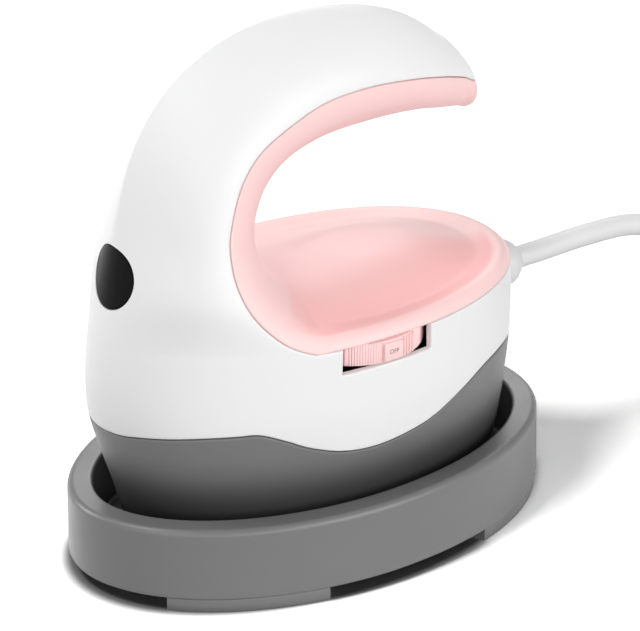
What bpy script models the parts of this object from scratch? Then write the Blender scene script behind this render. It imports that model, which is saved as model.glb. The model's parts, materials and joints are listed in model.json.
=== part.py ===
"""Mini craft iron with a C handle, resting in its heat-safe stand.

Metres, +Z up. The nose points to -X and the tail, with the cord, to +X. The selector is on the -Y side.
The origin is on the table, under the middle of the stand.
"""
import math

import bmesh
import bpy
from mathutils import Vector

MM = 0.001
GAP = 0.3 * MM          # clearance between pieces that touch
OVERRUN = 4.0 * MM      # how far a cutter runs past what it cuts
WELD_DISTANCE = 0.01 * MM

# Overall sizes of the body and of the stand round it
BODY_HALF_LENGTH = 63.5 * MM
BODY_HALF_WIDTH = 37.5 * MM
STAND_SPARE = 6.5 * MM          # how far the stand's outline runs past the body's
STAND_HALF_LENGTH = BODY_HALF_LENGTH + STAND_SPARE
STAND_HALF_WIDTH = BODY_HALF_WIDTH + STAND_SPARE

# Stand
STAND_RIM_WIDTH = 6.9 * MM
STAND_FLOOR = 3.0 * MM
STAND_WALL_HEIGHT = 19.5 * MM
STAND_OUTER_EDGE = 1.8 * MM
STAND_FLARE = 1.4 * MM
STAND_INNER_EDGE = 0.9 * MM
FOOT_HEIGHT = 3.7 * MM
FOOT_WIDTH = 8.0 * MM
FOOT_INSET = 0.6 * MM
REST_PAD_HEIGHT = 1.9 * MM
REST_PAD_RADIUS = 6.0 * MM
NOSE_POWER_SHARE = 1.92
TAIL_POWER_SHARE = 2.1
FOOT_SPAN_SHARES = ((-0.845, -0.305), (0.43, 0.95))
REST_PAD_PLACE_SHARES = (0.46, 0.40)

# Body
DECK_Z = 67.3 * MM              # where shell and grip meet along the deck
HANDLE_RISE = 77.1 * MM         # how far the handle rises above the deck
HANDLE_TOP_Z = DECK_Z + HANDLE_RISE
SHELL_WALL = 1.8 * MM
GRIP_WALL = 2.4 * MM
SEAM_DROP = 20.3 * MM            # how far the wave line lies below the deck
SEAM_TOP_Z = DECK_Z - SEAM_DROP
DECK_RIM_WIDTH = 3.7 * MM
DECK_RIM_HEIGHT = 3.4 * MM
DECK_TROUGH_INSET = 9.0 * MM
DECK_TROUGH_HEIGHT = 2.6 * MM
DECK_CROWN_INSET = 36.0 * MM
DECK_CROWN_HEIGHT = 8.7 * MM
TIP_LENGTH = 9.0 * MM

# Plan of the body at each height: share of DECK_Z, nose share, tail share, width share
PLAN_SHARES = (
    (0.178, 0.862, 0.902, 0.860),
    (0.250, 0.879, 0.913, 0.875),
    (0.360, 0.909, 0.934, 0.905),
    (0.500, 0.958, 0.948, 0.950),
    (0.640, 1.001, 0.958, 0.988),
    (0.730, 1.014, 0.962, 1.000),
    (0.830, 1.013, 0.963, 1.000),
    (0.920, 1.004, 0.960, 1.000),
    (1.000, 0.992, 0.952, 1.000),
)
# Side view of the nose and of the handle's back: shares of BODY_HALF_LENGTH and, above the deck, HANDLE_RISE
OUTER_SHARES = (
    (-1.007, -0.075), (-0.992, 0.000), (-0.978, 0.065), (-0.955, 0.153), (-0.932, 0.241), (-0.914, 0.335),
    (-0.894, 0.427), (-0.864, 0.534), (-0.820, 0.640), (-0.740, 0.753), (-0.622, 0.854), (-0.470, 0.933),
    (-0.283, 0.983), (-0.079, 1.000), (0.110, 0.993), (0.299, 0.963), (0.472, 0.908), (0.614, 0.830),
    (0.700, 0.755), (0.770, 0.667), (0.830, 0.567),
)
# How far the shell's back rises to a soft ridge: fan angle in degrees and share
RIDGE_SHARES = (
    (106.2, 0.27), (118.0, 0.46), (130.0, 0.70), (140.0, 0.88), (150.0, 0.90), (158.0, 0.88), (165.0, 0.67),
    (172.0, 0.16), (178.8, 0.00),
)
RIDGE_POWER = 1.3
# Side view of the hand space, from the deck round to the tip
HAND_SPACE_SHARES = (
    (0.300, 0.114), (0.100, 0.114), (0.000, 0.114), (-0.110, 0.118), (-0.205, 0.135), (-0.291, 0.183),
    (-0.340, 0.249), (-0.354, 0.320), (-0.340, 0.404), (-0.291, 0.477), (-0.205, 0.534), (-0.094, 0.565),
    (0.031, 0.579), (0.189, 0.579), (0.346, 0.573), (0.504, 0.564), (0.620, 0.554), (0.710, 0.551),
    (0.790, 0.549), (0.860, 0.549),
)
# Parting line of shell and grip above the deck: length, rise and half-width shares
PARTING_SHARES = (
    (0.000, 0.000, 1.000), (-0.150, 0.000, 0.988), (-0.250, 0.000, 0.965), (-0.330, 0.002, 0.940),
    (-0.450, 0.054, 0.884), (-0.556, 0.152, 0.810), (-0.605, 0.256, 0.725), (-0.614, 0.365, 0.660),
    (-0.595, 0.453, 0.627), (-0.529, 0.580, 0.587), (-0.420, 0.667, 0.547), (-0.254, 0.725, 0.507),
    (-0.087, 0.764, 0.480), (0.131, 0.772, 0.453), (0.353, 0.751, 0.412), (0.520, 0.721, 0.355),
    (0.645, 0.689, 0.295), (0.725, 0.661, 0.250), (0.800, 0.624, 0.205), (0.900, 0.567, 0.160),
)
# Wave where the grey skirt meets the white shell: shares of BODY_HALF_LENGTH and SEAM_TOP_Z
SEAM_SHARES = (
    (-1.100, 0.945), (-0.990, 0.955), (-0.940, 0.972), (-0.877, 0.983), (-0.760, 0.996), (-0.628, 1.000),
    (-0.545, 0.995), (-0.435, 0.930), (-0.350, 0.870), (-0.202, 0.800), (-0.052, 0.777), (0.093, 0.791),
    (0.249, 0.832), (0.419, 0.925), (0.551, 0.990), (0.660, 1.010), (0.753, 1.010), (0.860, 0.985),
    (1.000, 0.920), (1.150, 0.880),
)

# Places the two fans of sections turn about
REAR_PIVOT_SHARE = 0.925
HAND_PIVOT_SHARES = (0.000, 0.320)
SLANT_SHARE = 1.25
FIRST_FAN_ANGLE = math.radians(178.8)
SHARED_FAN_ANGLE = math.radians(162.0)
LAST_FAN_ANGLE = math.radians(106.2)

# Selector
WINDOW_X = 0.3 * MM
WINDOW_LENGTH = 27.2 * MM
WINDOW_HEIGHT = 7.1 * MM
SELECTOR_X = 1.2 * MM
WHEEL_RADIUS = 19.2 * MM
WHEEL_HEIGHT = 6.1 * MM
WHEEL_RIB_DEPTH = 0.45 * MM
WHEEL_RIBS = 64
PAD_PROUD = 0.8 * MM
PAD_WIDTH = 6.2 * MM
PAD_HEIGHT = 5.2 * MM
PAD_STEP = math.radians(60.0)
PAD_COUNT = 4
AXLE_RADIUS = 2.0 * MM
SWITCH_WIDTH = 16.0 * MM
SWITCH_HEIGHT = 10.2 * MM
WHEEL_Z = DECK_Z - (WINDOW_HEIGHT + WHEEL_HEIGHT) / 2.0
DETENT_WIDTH = 6.0 * MM
DETENT_THICKNESS = 0.5 * MM

# Indicator on the nose
LENS_RISE = 18.4 * MM
LENS_Z = DECK_Z + LENS_RISE
LENS_RADIUS = 8.5 * MM
LENS_THICKNESS = 1.5 * MM
LENS_BOSS_RADIUS = 5.0 * MM
LENS_BOSS_DEPTH = 7.5 * MM
LAMP_RADIUS = 2.5 * MM
LAMP_LENGTH = 3.0 * MM
LAMP_BOARD_WIDTH = 11.0 * MM

# Heating
PLATE_CLEARANCE = 1.0 * MM
PLATE_THICKNESS = 6.0 * MM
PLATE_EDGE = 1.0 * MM
ELEMENT_LENGTH = 56.0 * MM
ELEMENT_WIDTH = 12.0 * MM
ELEMENT_THICKNESS = 3.0 * MM
MICA_LENGTH = 60.0 * MM
MICA_WIDTH = 26.0 * MM
MICA_THICKNESS = 0.8 * MM
SHIELD_THICKNESS = 0.8 * MM
THERMOSTAT_RADIUS = 5.0 * MM
THERMAL_FUSE_RADIUS = 1.6 * MM
THERMAL_FUSE_LENGTH = 12.0 * MM
SCREW_RADIUS = 1.8 * MM
SCREW_HEAD_RADIUS = 3.4 * MM
SCREW_HEAD_HEIGHT = 1.8 * MM
SCREW_BITE = 3.2 * MM
SCREW_PLACE_SHARES = (0.65, 0.56)

# Electronics
BOARD_THICKNESS = 1.6 * MM
BOARD_Z = WHEEL_Z - GAP - SWITCH_HEIGHT - GAP - BOARD_THICKNESS
BOARD_END_CLEARANCE = 13.5 * MM
BOARD_SIDE_CLEARANCE = 8.5 * MM
BOARD_HALF_LENGTH = BODY_HALF_LENGTH - BOARD_END_CLEARANCE
BOARD_HALF_WIDTH = BODY_HALF_WIDTH - BOARD_SIDE_CLEARANCE
PILLAR_RADIUS = 2.5 * MM
PILLAR_PLACE_SHARES = (0.40, 0.75)
RELAY_SIZE = (20.0 * MM, 15.0 * MM, 13.5 * MM)
CAPACITOR_RADIUS = 6.0 * MM
CAPACITOR_HEIGHT = 13.0 * MM
FUSE_RADIUS = 2.5 * MM
FUSE_LENGTH = 20.0 * MM
TILT_SENSOR_RADIUS = 4.0 * MM
TILT_SENSOR_HEIGHT = 8.0 * MM
TERMINAL_SIZE = (8.0 * MM, 16.0 * MM, 9.0 * MM)
WIRE_RADIUS = 1.1 * MM
RELAY_PLACE_SHARES = (-0.52, 0.33)
CAPACITOR_PLACE_SHARES = (0.56, 0.36)
FUSE_PLACE_SHARES = (0.58, -0.55)
TILT_PLACE_SHARES = (-0.76, -0.28)
TERMINAL_PLACE_SHARE = 0.84
WIRE_SPREAD = 3.6 * MM

# Cord
CORD_RADIUS = 3.1 * MM
RELIEF_DROP = 10.3 * MM          # how far the cord leaves below the deck
RELIEF_Z = DECK_Z - RELIEF_DROP
RELIEF_RADIUS = 6.7 * MM
RELIEF_REACH = 9.0 * MM
RELIEF_FLANGE_RADIUS = 7.5 * MM
RELIEF_FLANGE = 2.0 * MM
RELIEF_NECK_SHARE = 0.62
CORD_SPACING_SHARE = 2.4
CORD_ROUTE = (
    (0.0800, 0.0000, 0.0572), (0.0950, 0.0000, 0.0576), (0.1130, -0.0005, 0.0564),
    (0.1275, -0.0075, 0.0508), (0.1395, -0.0190, 0.0405), (0.1500, -0.0305, 0.0275),
    (0.1600, -0.0400, 0.0148), (0.1700, -0.0478, 0.0062),
)
TAIL_ROUTE = (
    (0.2150, -0.0472), (0.2300, -0.0440), (0.2430, -0.0370), (0.2530, -0.0260), (0.2582, -0.0140),
)
TAIL_END = (0.2590, -0.0050)
COIL_CENTRE_X = 195.0 * MM
COIL_OUTER_RADIUS = 48.0 * MM
COIL_GAP = 0.7 * MM
COIL_TURNS = 7.0
COIL_POINTS = 24
CORD_LIFT = 0.05 * MM
CORD_REST_Z = CORD_RADIUS + CORD_LIFT
COIL_STEP = 2.0 * CORD_RADIUS + COIL_GAP
PLUG_LENGTH = 32.0 * MM
PLUG_WIDTH = 25.0 * MM
PLUG_NOSE = 9.0 * MM
PLUG_EDGE = 3.0 * MM
BLADE_LENGTH = 17.0 * MM
BLADE_WIDTH = 6.3 * MM
BLADE_THICKNESS = 1.5 * MM
BLADE_SPREAD = 12.7 * MM

SIDES = 36
INNER_SIDES = 20


# Scene helpers

def clear_scene():
    """Empties the file that the script runs in."""
    for item in list(bpy.data.objects):
        bpy.data.objects.remove(item, do_unlink=True)


def make_collection(name):
    """A collection linked to the scene."""
    group = bpy.data.collections.new(name)
    bpy.context.scene.collection.children.link(group)
    return group


def make_material(name, color, roughness, metallic=0.0):
    """A plain Principled material."""
    material = bpy.data.materials.new(name)
    material.use_nodes = True
    shader = material.node_tree.nodes["Principled BSDF"]
    shader.inputs["Base Color"].default_value = (*color, 1.0)
    shader.inputs["Roughness"].default_value = roughness
    shader.inputs["Metallic"].default_value = metallic
    return material


def add_object(name, mesh, group, material=None):
    """A mesh object in a collection."""
    item = bpy.data.objects.new(name, mesh)
    group.objects.link(item)
    if material is not None:
        mesh.materials.clear()
        mesh.materials.append(material)
    return item


def finish_mesh(name, builder):
    """A mesh from a bmesh, its faces pointing out and its gentle edges smooth."""
    bmesh.ops.recalc_face_normals(builder, faces=builder.faces)
    mesh = bpy.data.meshes.new(name)
    builder.to_mesh(mesh)
    builder.free()
    mesh.shade_smooth()
    mesh.set_sharp_from_angle(angle=math.radians(35.0))
    return mesh


# Shapes

def baked(item):
    """The mesh of an object with its modifiers done, its loose edges joined; the object is removed."""
    bpy.context.view_layer.update()
    mesh = bpy.data.meshes.new_from_object(item.evaluated_get(bpy.context.evaluated_depsgraph_get()))
    builder = bmesh.new()
    builder.from_mesh(mesh)
    bmesh.ops.remove_doubles(builder, verts=builder.verts, dist=WELD_DISTANCE)
    bmesh.ops.dissolve_limit(builder, angle_limit=math.radians(0.05), verts=builder.verts,
                             edges=builder.edges)
    name = item.name
    bpy.data.objects.remove(item, do_unlink=True)
    bpy.data.meshes.remove(mesh)
    return finish_mesh(name, builder)


def loft_mesh(name, rings):
    """A closed solid through rings that have the same number of points."""
    builder = bmesh.new()
    rows = [[builder.verts.new(point) for point in ring] for ring in rings]
    count = len(rows[0])
    for lower, upper in zip(rows, rows[1:]):
        for index in range(count):
            after = (index + 1) % count
            builder.faces.new((lower[index], lower[after], upper[after], upper[index]))
    builder.faces.new(rows[0])
    builder.faces.new(rows[-1])
    return finish_mesh(name, builder)


def flat_mesh(name, outline, low, high, edge=0.0):
    """A flat outline of (x, y) points between two heights, its level edges eased."""
    curve = bpy.data.curves.new(name, "CURVE")
    curve.dimensions = "2D"
    curve.fill_mode = "BOTH"
    curve.extrude = (high - low) / 2.0
    line = curve.splines.new("POLY")
    line.points.add(len(outline) - 1)
    for place, point in zip(line.points, outline):
        place.co = (point[0], point[1], 0.0, 1.0)
    line.use_cyclic_u = True
    item = bpy.data.objects.new(name, curve)
    bpy.context.scene.collection.objects.link(item)
    mesh = baked(item)
    for vertex in mesh.vertices:
        vertex.co.z += (high + low) / 2.0
    if edge > 0.0:
        item = bpy.data.objects.new(name, mesh)
        bpy.context.scene.collection.objects.link(item)
        easing = item.modifiers.new("edge", "BEVEL")
        easing.width = edge
        easing.segments = 1
        easing.limit_method = "ANGLE"
        easing.angle_limit = math.radians(60.0)
        mesh = baked(item)
    return mesh


def prism_mesh(name, outline, half_width):
    """A side-view outline of (x, z) points, run across the part."""
    mesh = flat_mesh(name, outline, -half_width, half_width)
    for vertex in mesh.vertices:
        vertex.co = Vector((vertex.co.x, -vertex.co.z, vertex.co.y))
    return mesh


def box_mesh(name, low, high):
    """A box between two corners."""
    builder = bmesh.new()
    bmesh.ops.create_cube(builder, size=1.0)
    for vertex in builder.verts:
        share = vertex.co + Vector((0.5, 0.5, 0.5))
        vertex.co = Vector(low[axis] + (high[axis] - low[axis]) * share[axis] for axis in range(3))
    return finish_mesh(name, builder)


def cylinder_mesh(name, start, end, radius, end_radius=None, sides=24):
    """A round bar from one point to another."""
    builder = bmesh.new()
    start = Vector(start)
    end = Vector(end)
    along = end - start
    bmesh.ops.create_cone(builder, cap_ends=True, segments=sides, radius1=radius,
                          radius2=radius if end_radius is None else end_radius, depth=along.length)
    turn = along.to_track_quat("Z", "Y").to_matrix().to_4x4()
    bmesh.ops.transform(builder, matrix=turn, verts=builder.verts)
    bmesh.ops.translate(builder, vec=(start + end) / 2.0, verts=builder.verts)
    return finish_mesh(name, builder)


def turned_mesh(name, profile, centre, axis, sides=28):
    """A solid turned about an axis: the profile has (distance along, radius) pairs, first to last."""
    row = [(profile[0][0], 0.0), *profile, (profile[-1][0], 0.0)]
    points = [(radius, 0.0, along) for along, radius in reversed(row)]
    mesh = bpy.data.meshes.new(name)
    mesh.from_pydata(points, [(index, index + 1) for index in range(len(points) - 1)], [])
    item = bpy.data.objects.new(name, mesh)
    bpy.context.scene.collection.objects.link(item)
    turning = item.modifiers.new("turn", "SCREW")
    turning.steps = sides
    turning.render_steps = sides
    turning.use_merge_vertices = True
    turning.merge_threshold = WELD_DISTANCE
    mesh = baked(item)
    frame = Vector(axis).to_track_quat("Z", "Y")
    for vertex in mesh.vertices:
        vertex.co = Vector(centre) + frame @ vertex.co
    return mesh


def cut(item, cutter, operation="DIFFERENCE"):
    """Cuts an object with another one and keeps the result as its mesh."""
    step = item.modifiers.new("cut", "BOOLEAN")
    step.solver = "EXACT"
    step.operation = operation
    step.object = cutter
    bpy.context.view_layer.update()
    mesh = bpy.data.meshes.new_from_object(item.evaluated_get(bpy.context.evaluated_depsgraph_get()))
    item.modifiers.remove(step)
    old = item.data
    item.data = mesh
    mesh.name = old.name
    bpy.data.meshes.remove(old)


def cutter(name, mesh, group):
    """An object that only cuts."""
    item = add_object(name, mesh, group)
    item.hide_render = True
    item.display_type = "WIRE"
    return item


def tube(name, points, radius, resolution, group, material):
    """A tube along a line of points, with its ends closed."""
    curve = bpy.data.curves.new(name, "CURVE")
    curve.dimensions = "3D"
    curve.bevel_depth = radius
    curve.bevel_resolution = resolution
    curve.use_fill_caps = True
    line = curve.splines.new("POLY")
    line.points.add(len(points) - 1)
    for place, point in zip(line.points, points):
        place.co = (*point, 1.0)
    item = bpy.data.objects.new(name, curve)
    group.objects.link(item)
    curve.materials.append(material)
    return item


# Smooth lines and interpolation

def blend(share):
    """Smooth step of a share, held between 0 and 1."""
    share = min(max(share, 0.0), 1.0)
    return share * share * (3.0 - 2.0 * share)


def smooth_line(points, steps=8):
    """A smooth curve through points of any dimension."""
    result = []
    last = len(points) - 1
    for index in range(last):
        before = points[max(index - 1, 0)]
        start = points[index]
        end = points[index + 1]
        after = points[min(index + 2, last)]
        for step in range(steps):
            t = step / steps
            result.append(tuple(
                0.5 * (2.0 * b + (c - a) * t + (2.0 * a - 5.0 * b + 4.0 * c - d) * t * t
                       + (3.0 * b - a - 3.0 * c + d) * t * t * t)
                for a, b, c, d in zip(before, start, end, after)))
    result.append(tuple(points[last]))
    return result


def scaled(table, *sizes):
    """A table of shares in real sizes."""
    return [tuple(share * size for share, size in zip(row, sizes)) for row in table]


def above_deck(table):
    """A side-view table in real sizes, its heights measured from the deck."""
    sizes = (BODY_HALF_LENGTH, HANDLE_RISE, BODY_HALF_WIDTH)
    return [(row[0], DECK_Z + row[1], *row[2:]) for row in scaled(table, *sizes)]


def look_up(line, value):
    """The other columns of a line where its first column has a value."""
    for lower, upper in zip(line, line[1:]):
        if lower[0] <= value <= upper[0]:
            share = (value - lower[0]) / max(upper[0] - lower[0], 1e-12)
            return [low + (high - low) * share for low, high in zip(lower[1:], upper[1:])]
    return list(line[0][1:] if value < line[0][0] else line[-1][1:])


def ray_hit(line, pivot, angle):
    """Where a ray in the side view meets a line: its distance, and a third column if there is one."""
    across = math.cos(angle)
    up = math.sin(angle)
    for start, end in zip(line, line[1:]):
        side_start = (start[0] - pivot[0]) * up - (start[1] - pivot[1]) * across
        side_end = (end[0] - pivot[0]) * up - (end[1] - pivot[1]) * across
        if side_start * side_end > 0.0 or side_start == side_end:
            continue
        share = side_start / (side_start - side_end)
        point = [low + (high - low) * share for low, high in zip(start, end)]
        distance = (point[0] - pivot[0]) * across + (point[1] - pivot[1]) * up
        if distance > 0.0:
            return distance, (point[2] if len(point) > 2 else None)
    raise ValueError("the ray misses the line")


def rounded(share, power):
    """Superellipse: the height share at a length share."""
    return max(1.0 - abs(share) ** power, 0.0) ** (1.0 / power)


def plan_ring(nose, tail, width, z, sides=SIDES, centre=0.0, lean=0.0):
    """A level ring round the body or the stand, from the near side round the nose.

    The lean turns its start and its half-way point toward the nose.
    """
    ring = []
    half = sides // 2
    for index in range(sides):
        if index <= half:
            angle = lean + (math.pi - 2.0 * lean) * index / half
        else:
            angle = math.pi - lean + (math.pi + 2.0 * lean) * (index - half) / half
        nose_side = math.sin(angle) > 0.0
        power = NOSE_POWER_SHARE if nose_side else TAIL_POWER_SHARE
        reach = nose if nose_side else tail
        x = -math.copysign(abs(math.sin(angle)) ** (2.0 / power), math.sin(angle)) * reach
        y = -math.copysign(abs(math.cos(angle)) ** (2.0 / power), math.cos(angle)) * width
        ring.append(Vector((centre + x, y, z)))
    return ring


# The form of the body

OUTER_LINE = smooth_line(above_deck(OUTER_SHARES))
HAND_LINE = smooth_line(above_deck(HAND_SPACE_SHARES))
PARTING_LINE = smooth_line(above_deck(PARTING_SHARES))
SEAM_LINE = smooth_line(scaled(SEAM_SHARES, BODY_HALF_LENGTH, SEAM_TOP_Z), 4)
PLAN_LINE = smooth_line(scaled(PLAN_SHARES, DECK_Z, BODY_HALF_LENGTH, BODY_HALF_LENGTH, BODY_HALF_WIDTH))
RIDGE_LINE = smooth_line([(math.radians(row[0]), row[1]) for row in RIDGE_SHARES], 4)
DECK_TAIL = look_up(PLAN_LINE, DECK_Z)[1]
REAR_PIVOT = (REAR_PIVOT_SHARE * BODY_HALF_LENGTH, DECK_Z)
HAND_PIVOT = above_deck([HAND_PIVOT_SHARES])[0]


def nose_reach(z):
    """How far the nose reaches at a height above the deck."""
    line = [(point[1], -point[0]) for point in OUTER_LINE if point[1] <= HANDLE_TOP_Z]
    climbing = [line[0]]
    for point in line[1:]:
        if point[0] <= climbing[-1][0]:
            break
        climbing.append(point)
    return look_up(climbing, z)[0]


def plan_half_width(x, reach):
    """Half-width of the body's plan at a place along it."""
    power = NOSE_POWER_SHARE if x < 0.0 else TAIL_POWER_SHARE
    return BODY_HALF_WIDTH * rounded(min(abs(x) / reach, 1.0), power)


def deck_height(x, y):
    """Height of the deck above the parting line: rim, trough and crown."""
    power = TAIL_POWER_SHARE if x > 0.0 else NOSE_POWER_SHARE
    along = (abs(x) / DECK_TAIL) ** power
    out = (along + (abs(y) / BODY_HALF_WIDTH) ** power) ** (1.0 / power)
    lean = along / max(out ** power, 1e-9)
    inset = max(1.0 - out, 0.0) * (BODY_HALF_WIDTH + (DECK_TAIL - BODY_HALF_WIDTH) * lean)
    if inset < DECK_RIM_WIDTH:
        return DECK_RIM_HEIGHT * math.sqrt(max(1.0 - (1.0 - inset / DECK_RIM_WIDTH) ** 2, 0.0))
    if inset < DECK_TROUGH_INSET:
        share = blend((inset - DECK_RIM_WIDTH) / (DECK_TROUGH_INSET - DECK_RIM_WIDTH))
        return DECK_RIM_HEIGHT + (DECK_TROUGH_HEIGHT - DECK_RIM_HEIGHT) * share
    share = (inset - DECK_TROUGH_INSET) / (DECK_CROWN_INSET - DECK_TROUGH_INSET)
    share = math.sin(min(share, 1.0) * math.pi / 2.0) ** 1.3
    return DECK_TROUGH_HEIGHT + (DECK_CROWN_HEIGHT - DECK_TROUGH_HEIGHT) * share


def fan_point(pivot, angle, distance, y):
    """A point on a fan's plane."""
    return Vector((pivot[0] + math.cos(angle) * distance, y, pivot[1] + math.sin(angle) * distance))


def side_share(angle, turn):
    """Half-width share of the shell's half of a section, which rises to a soft ridge."""
    across = abs(math.cos(turn))
    return across * (1.0 - look_up(RIDGE_LINE, angle)[0] * (1.0 - across ** RIDGE_POWER))


def handle_ring(angle, sides, wall):
    """A section of the handle, shared by shell and grip: outer half first, then inner half."""
    outer = ray_hit(OUTER_LINE, REAR_PIVOT, angle)[0] - wall * SLANT_SHARE
    inner = ray_hit(HAND_LINE, REAR_PIVOT, angle)[0] + wall * SLANT_SHARE
    middle, width = ray_hit(PARTING_LINE, REAR_PIVOT, angle)
    width -= wall
    ring = []
    for index in range(sides):
        turn = 2.0 * math.pi * index / sides
        if index <= sides // 2:
            reach = outer - middle
            y = -math.copysign(width * side_share(angle, turn), math.cos(turn))
        else:
            reach = middle - inner
            y = -width * math.cos(turn)
        ring.append(fan_point(REAR_PIVOT, angle, middle + reach * math.sin(turn), y))
    return ring


def handle_rings(sides, steps, wall=0.0):
    """Sections of the handle from its back to its tip, drawn in by a wall."""
    rings = []
    for index in range(steps + 1):
        angle = SHARED_FAN_ANGLE + (LAST_FAN_ANGLE - SHARED_FAN_ANGLE) * index / steps
        rings.append(handle_ring(angle, sides, wall))
    centre = sum(rings[-1], Vector()) / sides
    before = sum(rings[-2], Vector()) / sides
    along = (centre - before).normalized()
    cap = max(sides // 8, 3)
    for index in range(1, cap + 1):
        turn = math.pi / 2.0 * index / (cap + 0.35)
        shift = along * (TIP_LENGTH - wall) * math.sin(turn)
        rings.append([centre + (point - centre) * math.cos(turn) + shift for point in rings[steps]])
    return rings


def full_lean():
    """Lean of the top level ring, whose ends meet the first section of the fan."""
    middle = ray_hit(PARTING_LINE, REAR_PIVOT, FIRST_FAN_ANGLE)[0]
    share = (middle - REAR_PIVOT[0]) / nose_reach(DECK_Z)
    return math.asin(share ** (NOSE_POWER_SHARE / 2.0))


def level_rings(sides, wall=0.0):
    """Level sections of the lower body, drawn in by a wall."""
    rings = []
    for row in PLAN_SHARES:
        z = row[0] * DECK_Z
        nose, tail, width = look_up(PLAN_LINE, z)
        lean = full_lean() * blend(row[0])
        rings.append(plan_ring(nose - wall, tail - wall, width - wall, z, sides, 0.0, lean))
    return rings


def level_form(name, sides, wall=0.0, overrun=0.0):
    """The lower body alone, drawn in by a wall and run on past both ends."""
    rings = level_rings(sides, wall)
    if overrun > 0.0:
        rings.insert(0, [point - Vector((0.0, 0.0, overrun)) for point in rings[0]])
        rings.append([point + Vector((0.0, 0.0, overrun)) for point in rings[-1]])
    return loft_mesh(name, rings)


def shell_form(name, sides, fan_steps, handle_steps, wall=0.0):
    """The whole outside of the body, drawn in by a wall, of which shell and lens keep their stretches."""
    rings = level_rings(sides, wall)
    if wall > 0.0:
        rings.insert(0, [point - Vector((0.0, 0.0, OVERRUN)) for point in rings[0]])
    for step in range(fan_steps):
        share = step / fan_steps
        angle = FIRST_FAN_ANGLE + (SHARED_FAN_ANGLE - FIRST_FAN_ANGLE) * share
        outer = ray_hit(OUTER_LINE, REAR_PIVOT, angle)[0] - wall
        middle, width = ray_hit(PARTING_LINE, REAR_PIVOT, angle)
        width -= wall
        inner = (middle - RELIEF_REACH) * (1.0 - blend(share)) + blend(share) * (
            middle - ray_hit(HAND_LINE, REAR_PIVOT, SHARED_FAN_ANGLE)[0])
        ring = []
        for index in range(sides):
            turn = 2.0 * math.pi * index / sides
            if index > sides // 2:
                reach = middle + inner * math.sin(turn)
                ring.append(fan_point(REAR_PIVOT, angle, reach, -width * math.cos(turn)))
                continue
            place = fan_point(REAR_PIVOT, angle, middle + (outer - middle) * math.sin(turn), 0.0)
            plan = max(plan_half_width(place.x, nose_reach(place.z) - wall) - wall * abs(math.cos(turn)), 0.0)
            fan = width * side_share(angle, turn)
            mix = blend((place.z - DECK_Z) / (HAND_PIVOT[1] - DECK_Z))
            place.y = -math.copysign(plan + (fan - plan) * mix, math.cos(turn))
            if index * 4 == sides:
                place.y = 0.0
            ring.append(place)
        rings.append(ring)
    rings.extend(handle_rings(sides, handle_steps, wall))
    return loft_mesh(name, rings)


def grip_form(name, sides, deck_steps, fan_steps, handle_steps, wall=0.0):
    """The body's side toward the hand, drawn in by a wall: deck, back of the hand space and handle."""
    under = GRIP_WALL * 4.0
    rings = []
    for step in range(deck_steps):
        turn = math.pi / 2.0 * (1.0 - step / deck_steps) - 0.035
        x = (DECK_TAIL - wall) * math.sin(turn)
        width = max(plan_half_width(x, DECK_TAIL - wall) - wall * math.cos(turn), 0.0)
        ring = []
        for index in range(sides):
            angle = 2.0 * math.pi * index / sides
            y = -width * math.cos(angle)
            rise = deck_height(x, y) - wall if index > sides // 2 else -under * math.sin(angle)
            ring.append(Vector((x, y, DECK_Z + rise)))
        rings.append(ring)
    crown = deck_height(0.0, 0.0)
    for step in range(fan_steps):
        share = step / fan_steps
        angle = math.pi * 1.5 - share * math.radians(91.0)
        inner = ray_hit(HAND_LINE, HAND_PIVOT, angle)[0] + wall
        middle, width = ray_hit(PARTING_LINE, HAND_PIVOT, angle)
        width -= wall
        mix = blend(share * 1.25)
        ring = []
        for index in range(sides):
            turn = 2.0 * math.pi * index / sides
            y = -width * math.cos(turn)
            if index <= sides // 2:
                ring.append(fan_point(HAND_PIVOT, angle, middle + under * math.sin(turn), y))
                continue
            flat = deck_height(0.0, BODY_HALF_WIDTH * math.cos(turn)) / crown
            depth = flat + (abs(math.sin(turn)) - flat) * mix
            ring.append(fan_point(HAND_PIVOT, angle, middle - (middle - inner) * depth, y))
        rings.append(ring)
    rings.extend(handle_rings(sides, handle_steps, wall))
    return loft_mesh(name, rings)


def offset_line(line, distance):
    """A side-view line moved to its left."""
    result = []
    for index, point in enumerate(line):
        before = line[max(index - 1, 0)]
        after = line[min(index + 1, len(line) - 1)]
        across = after[0] - before[0]
        up = after[1] - before[1]
        size = math.hypot(across, up)
        result.append((point[0] - up / size * distance, point[1] + across / size * distance))
    return result


def hand_outline(distance):
    """Side view of all that lies on the hand's side of the parting line, grown by a distance."""
    tail = BODY_HALF_LENGTH + OVERRUN * 3.0
    line = [(tail, DECK_Z)]
    line += [(point[0], point[1]) for point in PARTING_LINE if point[1] > DECK_Z or point[0] <= 0.0]
    slope = (line[-1][1] - line[-2][1]) / (line[-1][0] - line[-2][0])
    line.append((tail, line[-1][1] + slope * (tail - line[-1][0])))
    return offset_line(line, distance)


def seam_outline(shift, down):
    """Side view of all below or above the wave line."""
    line = [(x, z + shift) for x, z in SEAM_LINE]
    far_z = -OVERRUN if down else HANDLE_TOP_Z + OVERRUN
    return line + [(line[-1][0], far_z), (line[0][0], far_z)]


# Body pieces

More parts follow.
